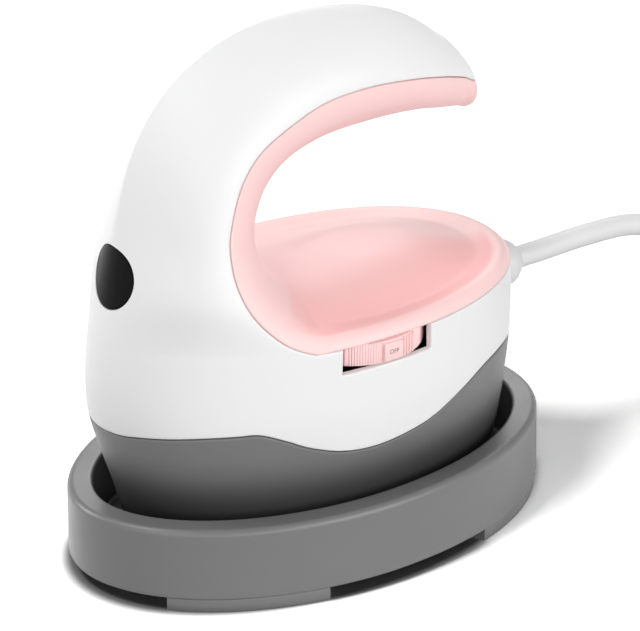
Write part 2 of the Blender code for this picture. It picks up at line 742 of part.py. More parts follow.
def make_shell(parts, cutters, finish):
    """White shell: outer half of the handle, nose and lower wall."""
    shell = add_object("outer_shell", shell_form("outer_shell", SIDES, 8, 18), parts, finish)
    inside = shell_form("shell_inside", INNER_SIDES, 6, 12, SHELL_WALL)
    cut(shell, cutter("shell_inside", inside, cutters))
    reach = BODY_HALF_WIDTH + OVERRUN
    cut(shell, cutter("hand_side", prism_mesh("hand_side", hand_outline(GAP / 2.0), reach), cutters))
    cut(shell, cutter("below_wave", prism_mesh("below_wave", seam_outline(GAP / 2.0, True), reach), cutters))
    low = (WINDOW_X - WINDOW_LENGTH / 2.0, -reach, DECK_Z - WINDOW_HEIGHT)
    high = (WINDOW_X + WINDOW_LENGTH / 2.0, -BODY_HALF_WIDTH / 2.0, DECK_Z + OVERRUN)
    cut(shell, cutter("window", box_mesh("window", low, high), cutters))
    start = (-BODY_HALF_LENGTH - OVERRUN, 0.0, LENS_Z)
    end = (-BODY_HALF_LENGTH / 2.0, 0.0, LENS_Z)
    hole = cylinder_mesh("lens_hole", start, end, LENS_RADIUS + GAP, sides=32)
    cut(shell, cutter("lens_hole", hole, cutters))
    start = (BODY_HALF_LENGTH / 2.0, 0.0, RELIEF_Z)
    end = (BODY_HALF_LENGTH + OVERRUN, 0.0, RELIEF_Z)
    hole = cylinder_mesh("relief_hole", start, end, RELIEF_RADIUS * RELIEF_NECK_SHARE + GAP, sides=28)
    cut(shell, cutter("relief_hole", hole, cutters))
    return shell


def make_grip(parts, cutters, finish):
    """Pink insert: inner half of the handle and the deck."""
    grip = add_object("grip_insert", grip_form("grip_insert", SIDES, 11, 11, 18), parts, finish)
    inside = grip_form("grip_inside", INNER_SIDES, 8, 7, 12, GRIP_WALL)
    cut(grip, cutter("grip_inside", inside, cutters))
    side = prism_mesh("grip_side", hand_outline(-GAP / 2.0), BODY_HALF_WIDTH + OVERRUN)
    cut(grip, cutter("grip_side", side, cutters), "INTERSECT")
    return grip


def make_skirt(parts, cutters, finish):
    """Grey heat skirt under the wave line, open below for the plate."""
    skirt = add_object("heat_skirt", level_form("heat_skirt", SIDES), parts, finish)
    inside = level_form("skirt_inside", SIDES, SHELL_WALL, OVERRUN)
    cut(skirt, cutter("skirt_inside", inside, cutters))
    side = prism_mesh("above_wave", seam_outline(-GAP / 2.0, False), BODY_HALF_WIDTH + OVERRUN)
    cut(skirt, cutter("above_wave", side, cutters))
    return skirt


def make_lens(parts, cutters, finish, board_finish, lamp_finish):
    """Round window on the nose, with the lamp and its board behind it."""
    start = (-BODY_HALF_LENGTH - OVERRUN, 0.0, LENS_Z)
    face = -nose_reach(LENS_Z)
    boss_end = face + LENS_BOSS_DEPTH
    blank = cylinder_mesh("indicator_lens", start, (face + LENS_RADIUS, 0.0, LENS_Z), LENS_RADIUS, sides=32)
    lens = add_object("indicator_lens", blank, parts, finish)
    cut(lens, cutter("lens_outside", shell_form("lens_outside", SIDES, 8, 18), cutters), "INTERSECT")
    inside = shell_form("lens_inside", SIDES, 8, 18, LENS_THICKNESS)
    cut(lens, cutter("lens_inside", inside, cutters))
    boss = cutter("lens_boss", cylinder_mesh("lens_boss", start, (boss_end, 0.0, LENS_Z), LENS_BOSS_RADIUS),
                  cutters)
    middle = shell_form("lens_middle", SIDES, 8, 18, LENS_THICKNESS / 2.0)
    cut(boss, cutter("lens_middle", middle, cutters), "INTERSECT")
    cut(lens, boss, "UNION")
    recess = cylinder_mesh("lamp_recess", (boss_end - LAMP_LENGTH - GAP, 0.0, LENS_Z),
                           (boss_end + OVERRUN, 0.0, LENS_Z), LAMP_RADIUS + GAP)
    cut(lens, cutter("lamp_recess", recess, cutters))
    board_x = boss_end + GAP
    lamp = cylinder_mesh("lamp", (board_x - GAP - LAMP_LENGTH, 0.0, LENS_Z), (board_x - GAP, 0.0, LENS_Z),
                         LAMP_RADIUS, sides=16)
    add_object("lamp", lamp, parts, lamp_finish)
    half = LAMP_BOARD_WIDTH / 2.0
    board = box_mesh("lamp_board", (board_x, -half, LENS_Z - half),
                     (board_x + BOARD_THICKNESS, half, LENS_Z + half))
    add_object("lamp_board", board, parts, board_finish)
    return board_x + BOARD_THICKNESS


def wheel_outline():
    """Plan of the ribbed wheel round its own axis."""
    points = []
    for index in range(WHEEL_RIBS * 2):
        angle = math.pi * index / WHEEL_RIBS
        radius = WHEEL_RADIUS - (WHEEL_RIB_DEPTH if index % 2 else 0.0)
        points.append((radius * math.cos(angle), radius * math.sin(angle)))
    return points


def make_selector(parts, cutters, finish, metal, switch_finish):
    """Thumbwheel behind the side window, on its switch."""
    centre = Vector((SELECTOR_X, WHEEL_RADIUS - BODY_HALF_WIDTH, WHEEL_Z))
    disc = flat_mesh("selector_wheel", wheel_outline(), 0.0, WHEEL_HEIGHT)
    wheel = add_object("selector_wheel", disc, parts, finish)
    for index in range(PAD_COUNT):
        pad_low = (WHEEL_RADIUS - OVERRUN, -PAD_WIDTH / 2.0, (WHEEL_HEIGHT - PAD_HEIGHT) / 2.0)
        pad_high = (WHEEL_RADIUS + PAD_PROUD, PAD_WIDTH / 2.0, (WHEEL_HEIGHT + PAD_HEIGHT) / 2.0)
        pad = cutter(f"pad_{index}", box_mesh(f"pad_{index}", pad_low, pad_high), cutters)
        pad.rotation_euler.z = -math.pi / 2.0 - index * PAD_STEP
        cut(wheel, pad, "UNION")
    bore = cylinder_mesh("wheel_bore", (0.0, 0.0, -OVERRUN), (0.0, 0.0, WHEEL_HEIGHT + OVERRUN),
                         AXLE_RADIUS + GAP)
    cut(wheel, cutter("wheel_bore", bore, cutters))
    wheel.location = centre
    top = centre.z + WHEEL_HEIGHT
    switch_top = centre.z - GAP
    seat = BOARD_Z + BOARD_THICKNESS + GAP
    half = SWITCH_WIDTH / 2.0
    switch_low = (centre.x - half, centre.y - half, seat)
    switch_high = (centre.x + half, centre.y + half, switch_top)
    add_object("selector_switch", box_mesh("selector_switch", switch_low, switch_high), parts, switch_finish)
    axle = cylinder_mesh("selector_axle", (centre.x, centre.y, switch_top + GAP),
                         (centre.x, centre.y, top), AXLE_RADIUS)
    add_object("selector_axle", axle, parts, metal)
    strip_y = centre.y + math.hypot(WHEEL_RADIUS + PAD_PROUD, PAD_WIDTH / 2.0) + GAP
    strip_low = (centre.x - DETENT_WIDTH / 2.0, strip_y, seat)
    strip_high = (centre.x + DETENT_WIDTH / 2.0, strip_y + DETENT_THICKNESS, top)
    add_object("detent_spring", box_mesh("detent_spring", strip_low, strip_high), parts, metal)


# Heating pieces

def level_disc(name, nose, tail, width, low, high, edge, sides, centre=0.0):
    """A flat plate with the body's plan and eased edges."""
    return flat_mesh(name, plan_ring(nose, tail, width, low, sides, centre), low, high, edge)


def make_heating(parts, cutters, finishes):
    """Hot plate, element, sheets, sensors and the screws that hold them."""
    plate_low = FOOT_HEIGHT + GAP + STAND_FLOOR + GAP + REST_PAD_HEIGHT + GAP
    plate_high = plate_low + PLATE_THICKNESS
    nose, tail, width = [reach - SHELL_WALL - PLATE_CLEARANCE for reach in look_up(PLAN_LINE, plate_low)]
    middle = (tail - nose) / 2.0
    half_length = (tail + nose) / 2.0
    plate = add_object("heating_plate", level_disc(
        "heating_plate", nose, tail, width, plate_low, plate_high, PLATE_EDGE, SIDES), parts,
        finishes["aluminium"])
    element_low = plate_high + GAP
    element_high = element_low + ELEMENT_THICKNESS
    add_object("heating_element", box_mesh(
        "heating_element", (middle - ELEMENT_LENGTH / 2.0, -ELEMENT_WIDTH / 2.0, element_low),
        (middle + ELEMENT_LENGTH / 2.0, ELEMENT_WIDTH / 2.0, element_high)), parts, finishes["ceramic"])
    mica_low = element_high + GAP
    mica_high = mica_low + MICA_THICKNESS
    mica = add_object("mica_sheet", box_mesh(
        "mica_sheet", (middle - MICA_LENGTH / 2.0, -MICA_WIDTH / 2.0, mica_low),
        (middle + MICA_LENGTH / 2.0, MICA_WIDTH / 2.0, mica_high)), parts, finishes["mica"])
    shield_low = mica_high + GAP
    shield_high = shield_low + SHIELD_THICKNESS
    reaches = [reach - SHELL_WALL - GAP for reach in look_up(PLAN_LINE, shield_low)]
    shield = add_object("heat_shield", level_disc(
        "heat_shield", *reaches, shield_low, shield_high, 0.0, SIDES), parts, finishes["steel"])
    for index, (side_x, side_y) in enumerate(((-1, -1), (1, -1), (-1, 1), (1, 1))):
        x = middle + side_x * half_length * SCREW_PLACE_SHARES[0]
        y = side_y * width * SCREW_PLACE_SHARES[1]
        hole = cylinder_mesh("screw_hole", (x, y, plate_high - SCREW_BITE - GAP),
                             (x, y, shield_high + OVERRUN), SCREW_RADIUS + GAP, sides=12)
        hole_item = cutter(f"screw_hole_{index}", hole, cutters)
        cut(plate, hole_item)
        cut(shield, hole_item)
        profile = ((plate_high - SCREW_BITE, SCREW_RADIUS), (shield_high + GAP, SCREW_RADIUS),
                   (shield_high + GAP, SCREW_HEAD_RADIUS),
                   (shield_high + GAP + SCREW_HEAD_HEIGHT, SCREW_HEAD_RADIUS))
        screw = turned_mesh(f"plate_screw_{index + 1}", profile, (x, y, 0.0), (0.0, 0.0, 1.0), 12)
        add_object(f"plate_screw_{index + 1}", screw, parts, finishes["steel"])
    thermostat_x = middle + (ELEMENT_LENGTH / 2.0 + half_length) / 2.0
    add_object("thermostat", cylinder_mesh(
        "thermostat", (thermostat_x, 0.0, element_low), (thermostat_x, 0.0, element_high), THERMOSTAT_RADIUS,
        sides=20), parts, finishes["steel"])
    fuse_x = middle - ELEMENT_LENGTH / 2.0 - THERMAL_FUSE_RADIUS * 3.0
    fuse_z = element_low + THERMAL_FUSE_RADIUS
    half = THERMAL_FUSE_LENGTH / 2.0
    add_object("thermal_fuse", cylinder_mesh(
        "thermal_fuse", (fuse_x, -half, fuse_z), (fuse_x, half, fuse_z), THERMAL_FUSE_RADIUS, sides=12),
        parts, finishes["ceramic"])
    for index, side in enumerate((-1, 1)):
        x = middle + side * ELEMENT_LENGTH * 0.4
        hole = cylinder_mesh("wire_hole", (x, 0.0, element_high + GAP / 2.0), (x, 0.0, shield_high + OVERRUN),
                             WIRE_RADIUS + GAP, sides=12)
        hole_item = cutter(f"wire_hole_{index}", hole, cutters)
        cut(mica, hole_item)
        cut(shield, hole_item)
        wire = cylinder_mesh("wire", (x, 0.0, element_high + GAP), (x, 0.0, BOARD_Z - GAP), WIRE_RADIUS,
                             sides=10)
        add_object(f"heater_wire_{index + 1}", wire, parts, finishes["wire"])
    return shield_high


# Electronics

def make_electronics(parts, finishes, shield_top, lamp_x):
    """Main board on its pillars, with what it carries."""
    board = level_disc("main_board", BOARD_HALF_LENGTH, BOARD_HALF_LENGTH, BOARD_HALF_WIDTH, BOARD_Z,
                       BOARD_Z + BOARD_THICKNESS, 0.0, SIDES)
    add_object("main_board", board, parts, finishes["board"])
    number = 0
    for side_x in (-1, 1):
        for side_y in (-1, 1):
            number += 1
            x = side_x * BOARD_HALF_LENGTH * PILLAR_PLACE_SHARES[0]
            y = side_y * BOARD_HALF_WIDTH * PILLAR_PLACE_SHARES[1]
            pillar = cylinder_mesh("pillar", (x, y, shield_top + GAP), (x, y, BOARD_Z - GAP), PILLAR_RADIUS,
                                   sides=12)
            add_object(f"board_pillar_{number}", pillar, parts, finishes["pillar"])
    seat = BOARD_Z + BOARD_THICKNESS + GAP

    def place(shares):
        """A place on the board."""
        return shares[0] * BOARD_HALF_LENGTH, shares[1] * BOARD_HALF_WIDTH

    x, y = place(RELAY_PLACE_SHARES)
    half = (RELAY_SIZE[0] / 2.0, RELAY_SIZE[1] / 2.0)
    relay = box_mesh("relay", (x - half[0], y - half[1], seat),
                     (x + half[0], y + half[1], seat + RELAY_SIZE[2]))
    add_object("relay", relay, parts, finishes["relay"])
    x, y = place(CAPACITOR_PLACE_SHARES)
    add_object("capacitor", cylinder_mesh("capacitor", (x, y, seat), (x, y, seat + CAPACITOR_HEIGHT),
                                          CAPACITOR_RADIUS, sides=20), parts, finishes["sleeve"])
    x, y = place(FUSE_PLACE_SHARES)
    z = seat + FUSE_RADIUS
    half = FUSE_LENGTH / 2.0
    fuse = cylinder_mesh("glass_fuse", (x - half, y, z), (x + half, y, z), FUSE_RADIUS, sides=14)
    add_object("glass_fuse", fuse, parts, finishes["glass"])
    x, y = place(TILT_PLACE_SHARES)
    add_object("tilt_sensor", cylinder_mesh("tilt_sensor", (x, y, seat), (x, y, seat + TILT_SENSOR_HEIGHT),
                                            TILT_SENSOR_RADIUS, sides=16), parts, finishes["steel"])
    x = TERMINAL_PLACE_SHARE * BOARD_HALF_LENGTH
    half = (TERMINAL_SIZE[0] / 2.0, TERMINAL_SIZE[1] / 2.0)
    block = box_mesh("terminal_block", (x - half[0], -half[1], seat),
                     (x + half[0], half[1], seat + TERMINAL_SIZE[2]))
    add_object("terminal_block", block, parts, finishes["terminal"])
    block_face = x + half[0] + GAP
    flange_face = flange_seat() - RELIEF_FLANGE - GAP
    for name, side, finish in (("live_wire", 1, "wire"), ("neutral_wire", -1, "sleeve")):
        y = side * WIRE_SPREAD
        points = [(flange_face, y, RELIEF_Z), (block_face, y, RELIEF_Z - WIRE_RADIUS)]
        tube(name, points, WIRE_RADIUS, 2, parts, finishes[finish])
    start = Vector((lamp_x + GAP + WIRE_RADIUS, 0.0, LENS_Z))
    end = Vector((-BOARD_HALF_LENGTH * 0.84, 0.0, seat))
    middle = (start + end) / 2.0
    slack = WIRE_RADIUS * 8.0
    points = smooth_line([tuple(start), (start.x + WIRE_RADIUS, 0.0, start.z - slack), tuple(middle),
                          (end.x, 0.0, end.z + slack), tuple(end)], 3)
    tube("lamp_wire", points, WIRE_RADIUS, 2, parts, finishes["wire"])


# Stand

def make_stand(parts, finishes):
    """Tray, its feet and the pads that the plate rests on."""
    low = FOOT_HEIGHT + GAP
    top = low + STAND_WALL_HEIGHT
    floor = low + STAND_FLOOR
    edge = STAND_OUTER_EDGE
    inner = STAND_RIM_WIDTH
    ease = STAND_INNER_EDGE
    steps = (
        (low, 0.0, STAND_FLARE), (top - edge, 0.0, 0.0), (top - edge * 0.3, edge * 0.3, 0.0),
        (top, edge, 0.0), (top, inner - ease, 0.0), (top - ease * 0.3, inner - ease * 0.3, 0.0),
        (top - ease, inner, 0.0),
        (floor + ease, inner, 0.0), (floor, inner + ease, 0.0),
    )
    sides = SIDES + SIDES // 2
    rings = []
    for z, inset, flare in steps:
        length = STAND_HALF_LENGTH - inset
        rings.append(plan_ring(length, length, STAND_HALF_WIDTH - inset + flare, z, sides))
    add_object("stand_tray", loft_mesh("stand_tray", rings), parts, finishes["stand"])
    number = 0
    for side in (-1, 1):
        for start, end in FOOT_SPAN_SHARES:
            number += 1
            add_object(f"stand_foot_{number}", foot_mesh(f"stand_foot_{number}", side, start, end), parts,
                       finishes["rubber"])
    number = 0
    for side_x in (-1, 1):
        for side_y in (-1, 1):
            number += 1
            x = side_x * STAND_HALF_LENGTH * REST_PAD_PLACE_SHARES[0]
            y = side_y * STAND_HALF_WIDTH * REST_PAD_PLACE_SHARES[1]
            pad = cylinder_mesh("pad", (x, y, floor + GAP), (x, y, floor + GAP + REST_PAD_HEIGHT),
                                REST_PAD_RADIUS, sides=20)
            add_object(f"rest_pad_{number}", pad, parts, finishes["rubber"])


def foot_mesh(name, side, start, end):
    """An arc of the stand's outline, standing on the table."""
    outer = []
    inner = []
    steps = 12
    for index in range(steps + 1):
        share = start + (end - start) * index / steps
        power = NOSE_POWER_SHARE if share < 0.0 else TAIL_POWER_SHARE
        for inset, row in ((FOOT_INSET, outer), (FOOT_INSET + FOOT_WIDTH, inner)):
            row.append((share * (STAND_HALF_LENGTH - inset),
                        side * (STAND_HALF_WIDTH + STAND_FLARE - inset) * rounded(share, power)))
    return flat_mesh(name, outer + inner[::-1], 0.0, FOOT_HEIGHT)


# Cord

def flange_seat():
    """Where the relief's flange meets the inside of the tail wall."""
    share = RELIEF_FLANGE_RADIUS / (BODY_HALF_WIDTH - SHELL_WALL)
    wall = look_up(PLAN_LINE, RELIEF_Z - RELIEF_FLANGE_RADIUS)[1] - SHELL_WALL
    return wall * rounded(share, TAIL_POWER_SHARE) - GAP * 4.0


def make_relief(parts, finish):
    """Strain relief: flange inside the wall, neck and dome outside."""
    wall = look_up(PLAN_LINE, RELIEF_Z)[1]
    flange = flange_seat()
    profile = (
        (flange - RELIEF_FLANGE, RELIEF_FLANGE_RADIUS), (flange, RELIEF_FLANGE_RADIUS),
        (flange, RELIEF_RADIUS * RELIEF_NECK_SHARE), (wall + GAP, RELIEF_RADIUS * RELIEF_NECK_SHARE),
        (wall + GAP, RELIEF_RADIUS), (wall + RELIEF_REACH * 0.45, RELIEF_RADIUS),
        (wall + RELIEF_REACH * 0.68, RELIEF_RADIUS * 0.94),
        (wall + RELIEF_REACH * 0.85, RELIEF_RADIUS * 0.80),
        (wall + RELIEF_REACH * 0.96, RELIEF_RADIUS * 0.64), (wall + RELIEF_REACH, RELIEF_RADIUS * 0.52),
    )
    mesh = turned_mesh("strain_relief", profile, (0.0, 0.0, RELIEF_Z), (1.0, 0.0, 0.0), 24)
    add_object("strain_relief", mesh, parts, finish)
    return wall + RELIEF_REACH


def even_points(line, spacing):
    """Points at even steps along a line."""
    lengths = [0.0]
    for start, end in zip(line, line[1:]):
        lengths.append(lengths[-1] + (Vector(end) - Vector(start)).length)
    count = max(int(round(lengths[-1] / spacing)), 2)
    table = [(length, *point) for length, point in zip(lengths, line)]
    return [Vector(look_up(table, lengths[-1] * index / count)) for index in range(count + 1)]


def coil_points():
    """The coil's centre line: spiral in, climb a layer, spiral out, with straight ends."""
    count = int(COIL_TURNS * COIL_POINTS)
    middle = COIL_TURNS / 2.0
    points = []
    for index in range(count + 1):
        turn = COIL_TURNS * index / count
        radius = COIL_OUTER_RADIUS - COIL_STEP * (middle - math.hypot(turn - middle, 0.08))
        angle = 2.0 * math.pi * turn - math.pi / 2.0
        z = CORD_REST_Z + COIL_STEP * blend((turn - middle) / 0.5 + 0.5)
        points.append(Vector((COIL_CENTRE_X + radius * math.cos(angle), radius * math.sin(angle), z)))
    run = CORD_RADIUS * 2.0
    first = points[0] - Vector((run, 0.0, 0.0))
    last = points[-1] + Vector((run, 0.0, 0.0))
    return [first] + points + [last]


def least_gap(points):
    """Least gap of the coil to itself, between points that are over half a turn apart."""
    least = COIL_OUTER_RADIUS
    for index, point in enumerate(points):
        for other in points[index + COIL_POINTS // 2:]:
            least = min(least, (point - other).length - 2.0 * CORD_RADIUS)
    return least


def make_cord(parts, finishes, relief_end):
    """Free stretch, coil and plug. The free stretch runs straight into the coil's first face."""
    coil = coil_points()
    start = (relief_end + GAP, 0.0, RELIEF_Z)
    end = coil[0] - Vector((GAP, 0.0, 0.0))
    line = smooth_line([start, *CORD_ROUTE, tuple(end - Vector((CORD_RADIUS * 2.0, 0.0, 0.0)))])
    points = even_points(line, CORD_RADIUS * 2.0 * CORD_SPACING_SHARE) + [end]
    tube("cord_lead", points, CORD_RADIUS, 2, parts, finishes["cord"])
    tube("cord_coil", coil, CORD_RADIUS, 1, parts, finishes["cord"])
    print(f"least gap of the coil to itself: {least_gap(coil) / MM:.2f} mm")
    height = coil[-1].z
    tail_start = coil[-1] + Vector((GAP, 0.0, 0.0))
    route = [(x, y, height) for x, y in (*TAIL_ROUTE, TAIL_END)]
    tail_line = smooth_line([tuple(tail_start), *route])
    tail = even_points(tail_line, CORD_RADIUS * 2.0)
    tube("cord_tail", tail, CORD_RADIUS, 2, parts, finishes["cord"])
    lengths = [sum((b - a).length for a, b in zip(run, run[1:])) for run in (points, coil, tail)]
    print("cord length: lead, coil and tail", [round(length, 3) for length in lengths],
          round(sum(lengths), 3))
    make_plug(parts, finishes, tail[-1])


def make_plug(parts, finishes, cord_end):
    """Two-blade plug lying on the table, at the end of the coil's upper layer."""
    axis_z = cord_end.z
    face = cord_end.y + GAP
    half_height = axis_z - GAP / 2.0
    rows = (
        (0.0, CORD_RADIUS * 1.35, CORD_RADIUS * 1.35),
        (PLUG_NOSE * 0.5, CORD_RADIUS * 1.5, CORD_RADIUS * 1.5),
        (PLUG_NOSE, PLUG_WIDTH * 0.36, half_height * 0.8),
        (PLUG_NOSE + PLUG_EDGE, PLUG_WIDTH * 0.47, half_height * 0.97),
        (PLUG_NOSE + PLUG_EDGE * 2.0, PLUG_WIDTH / 2.0, half_height),
        (PLUG_LENGTH - PLUG_EDGE / 2.0, PLUG_WIDTH / 2.0, half_height),
        (PLUG_LENGTH, PLUG_WIDTH / 2.0 - PLUG_EDGE / 2.0, half_height - PLUG_EDGE / 2.0),
    )
    rings = []
    sides = 20
    for along, wide, high in rows:
        ring = []
        for index in range(sides):
            angle = 2.0 * math.pi * index / sides
            x = math.copysign(abs(math.cos(angle)) ** 0.6, math.cos(angle)) * wide
            z = math.copysign(abs(math.sin(angle)) ** 0.6, math.sin(angle)) * high
            ring.append(Vector((cord_end.x + x, face + along, axis_z + z)))
        rings.append(ring)
    add_object("plug_body", loft_mesh("plug_body", rings), parts, finishes["cord"])
    for index, side in enumerate((-1, 1)):
        x = cord_end.x + side * BLADE_SPREAD / 2.0
        y = face + PLUG_LENGTH + GAP
        low = (x - BLADE_THICKNESS / 2.0, y, axis_z - BLADE_WIDTH / 2.0)
        high = (x + BLADE_THICKNESS / 2.0, y + BLADE_LENGTH, axis_z + BLADE_WIDTH / 2.0)
        add_object(f"plug_blade_{index + 1}", box_mesh("blade", low, high), parts, finishes["brass"])


def make_finishes():
    """One material for each finish."""
    return {
        "white": make_material("white_shell", (0.83, 0.83, 0.83), 0.28),
        "pink": make_material("pink_grip", (0.96, 0.62, 0.61), 0.38),
        "grey": make_material("grey_skirt", (0.16, 0.16, 0.165), 0.55),
        "stand": make_material("grey_stand", (0.17, 0.17, 0.175), 0.6),
        "rubber": make_material("grey_rubber", (0.13, 0.13, 0.13), 0.85),
        "lens": make_material("black_lens", (0.012, 0.012, 0.014), 0.08),
        "lamp": make_material("lamp_resin", (0.75, 0.1, 0.06), 0.2),
        "aluminium": make_material("cast_aluminium", (0.72, 0.72, 0.73), 0.35, 1.0),
        "steel": make_material("sheet_steel", (0.62, 0.62, 0.63), 0.3, 1.0),
        "ceramic": make_material("heater_ceramic", (0.85, 0.83, 0.78), 0.6),
        "mica": make_material("mica", (0.62, 0.55, 0.42), 0.5),
        "board": make_material("board_laminate", (0.05, 0.28, 0.12), 0.45),
        "pillar": make_material("board_pillars", (0.8, 0.8, 0.78), 0.5),
        "relay": make_material("relay_case", (0.08, 0.2, 0.5), 0.4),
        "sleeve": make_material("dark_sleeve", (0.03, 0.03, 0.05), 0.45),
        "glass": make_material("fuse_glass", (0.75, 0.8, 0.8), 0.1),
        "terminal": make_material("terminal_green", (0.05, 0.4, 0.2), 0.45),
        "wire": make_material("wire_sleeve", (0.65, 0.05, 0.04), 0.45),
        "switch": make_material("switch_case", (0.1, 0.1, 0.1), 0.5),
        "cord": make_material("white_cord", (0.85, 0.85, 0.85), 0.4),
        "brass": make_material("plated_brass", (0.8, 0.7, 0.45), 0.3, 1.0),
    }


def main():
    """Builds every piece."""
    clear_scene()
    parts = make_collection("mini_craft_iron")
    cutters = make_collection("cutters")
    finishes = make_finishes()
    make_stand(parts, finishes)
    make_shell(parts, cutters, finishes["white"])
    make_grip(parts, cutters, finishes["pink"])
    make_skirt(parts, cutters, finishes["grey"])
    lamp_x = make_lens(parts, cutters, finishes["lens"], finishes["board"], finishes["lamp"])
    make_selector(parts, cutters, finishes["pink"], finishes["steel"], finishes["switch"])
    shield_top = make_heating(parts, cutters, finishes)
    make_electronics(parts, finishes, shield_top, lamp_x)
    relief_end = make_relief(parts, finishes["cord"])
    make_cord(parts, finishes, relief_end)


main()
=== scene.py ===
"""Looks of the mini craft iron on its stand: cord, fine shapes, finishes, light and camera.

Metres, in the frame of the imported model: the nose points to -X and the tail to +X, and the selector is on
the -Y side.
"""

import json
from math import asin, copysign, cos, hypot, pi, radians, sin, sqrt

import bmesh
import bpy
import numpy as np
from mathutils import Matrix, Vector
from mathutils.kdtree import KDTree

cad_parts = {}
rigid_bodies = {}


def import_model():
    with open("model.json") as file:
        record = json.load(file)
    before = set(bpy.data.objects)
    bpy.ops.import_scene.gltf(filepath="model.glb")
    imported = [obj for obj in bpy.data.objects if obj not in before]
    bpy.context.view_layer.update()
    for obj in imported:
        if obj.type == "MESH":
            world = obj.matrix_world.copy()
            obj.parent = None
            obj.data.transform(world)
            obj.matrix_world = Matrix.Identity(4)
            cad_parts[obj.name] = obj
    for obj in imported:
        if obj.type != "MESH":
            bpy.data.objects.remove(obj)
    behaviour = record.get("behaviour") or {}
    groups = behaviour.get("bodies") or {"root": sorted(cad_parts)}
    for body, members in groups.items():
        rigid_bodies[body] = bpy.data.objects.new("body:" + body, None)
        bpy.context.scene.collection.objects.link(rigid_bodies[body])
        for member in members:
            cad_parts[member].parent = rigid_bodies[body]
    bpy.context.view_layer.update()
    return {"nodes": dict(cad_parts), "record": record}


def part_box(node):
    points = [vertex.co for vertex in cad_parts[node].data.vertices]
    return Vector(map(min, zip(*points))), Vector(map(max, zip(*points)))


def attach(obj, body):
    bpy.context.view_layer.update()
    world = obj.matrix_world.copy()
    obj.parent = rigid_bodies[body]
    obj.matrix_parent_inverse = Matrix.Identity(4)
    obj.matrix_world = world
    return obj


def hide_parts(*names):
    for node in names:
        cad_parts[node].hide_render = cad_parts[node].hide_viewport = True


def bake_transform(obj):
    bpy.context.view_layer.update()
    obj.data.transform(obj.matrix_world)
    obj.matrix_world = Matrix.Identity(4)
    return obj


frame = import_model()
NODES = frame["nodes"]

MM = 0.001
GAP = 0.3 * MM              # clearance between pieces that touch
GROOVE = 0.13 * MM          # half of the groove between two moulded pieces
EDGE = 0.45 * MM            # radius of a moulded edge
WELD = 0.002 * MM           # points closer than this are one
LATHE_WELD = 0.01 * MM
CUT_SPARE = 10.0 * MM       # how far a cutter reaches past the body
SMOOTH_ANGLE = 40.0         # degrees: sharper edges stay sharp
EDGE_STEPS = (0.0, 0.05 * MM, 0.13 * MM, 0.25 * MM, 0.45 * MM, 0.8 * MM)

# Sizes of the body, as in the part's source
BODY_HALF_LENGTH = 63.5 * MM
BODY_HALF_WIDTH = 37.5 * MM
DECK_Z = 67.3 * MM
HANDLE_RISE = 77.1 * MM
SHELL_WALL = 1.8 * MM
GRIP_WALL = 2.4 * MM
SEAM_TOP_Z = DECK_Z - 20.3 * MM
DECK_RIM_WIDTH = 3.7 * MM
DECK_RIM_HEIGHT = 3.4 * MM
DECK_TROUGH_INSET = 9.0 * MM
DECK_TROUGH_HEIGHT = 2.6 * MM
DECK_CROWN_INSET = 36.0 * MM
TIP_LENGTH = 9.0 * MM
NOSE_POWER_SHARE = 1.92
TAIL_POWER_SHARE = 2.1

# Plan of the body at each height: share of DECK_Z, nose share, tail share, width share
PLAN_SHARES = (
    (0.178, 0.862, 0.902, 0.860), (0.250, 0.879, 0.913, 0.875), (0.360, 0.909, 0.934, 0.905),
    (0.500, 0.958, 0.948, 0.950), (0.640, 1.001, 0.958, 0.988), (0.730, 1.014, 0.962, 1.000),
    (0.830, 1.013, 0.963, 1.000), (0.920, 1.004, 0.960, 1.000), (1.000, 0.992, 0.952, 1.000),
)
# Side view of the nose and of the handle's back: shares of BODY_HALF_LENGTH and, above the deck, HANDLE_RISE
OUTER_SHARES = (
    (-1.007, -0.075), (-0.992, 0.000), (-0.978, 0.065), (-0.955, 0.153), (-0.932, 0.241), (-0.914, 0.335),
    (-0.894, 0.427), (-0.864, 0.534), (-0.820, 0.640), (-0.740, 0.753), (-0.622, 0.854), (-0.470, 0.933),
    (-0.283, 0.983), (-0.079, 1.000), (0.110, 0.993), (0.299, 0.963), (0.472, 0.908), (0.614, 0.830),
    (0.700, 0.755), (0.770, 0.667), (0.830, 0.567),
)
# How far the shell's back rises to a soft ridge: fan angle in degrees and share
RIDGE_SHARES = (
    (106.2, 0.27), (118.0, 0.46), (130.0, 0.70), (140.0, 0.88), (150.0, 0.90), (158.0, 0.88), (165.0, 0.67),
    (172.0, 0.16), (178.8, 0.00),
)
RIDGE_POWER = 1.3
# Side view of the hand space, from the deck round to the tip, which is 1 mm fuller than in the part's source
HAND_SPACE_SHARES = (
    (0.300, 0.114), (0.100, 0.114), (0.000, 0.114), (-0.110, 0.118), (-0.205, 0.135), (-0.291, 0.183),
    (-0.340, 0.249), (-0.354, 0.320), (-0.340, 0.404), (-0.291, 0.477), (-0.205, 0.534), (-0.094, 0.565),
    (0.031, 0.579), (0.189, 0.579), (0.346, 0.577), (0.504, 0.566), (0.620, 0.546), (0.710, 0.533),
    (0.790, 0.520), (0.860, 0.508),
)
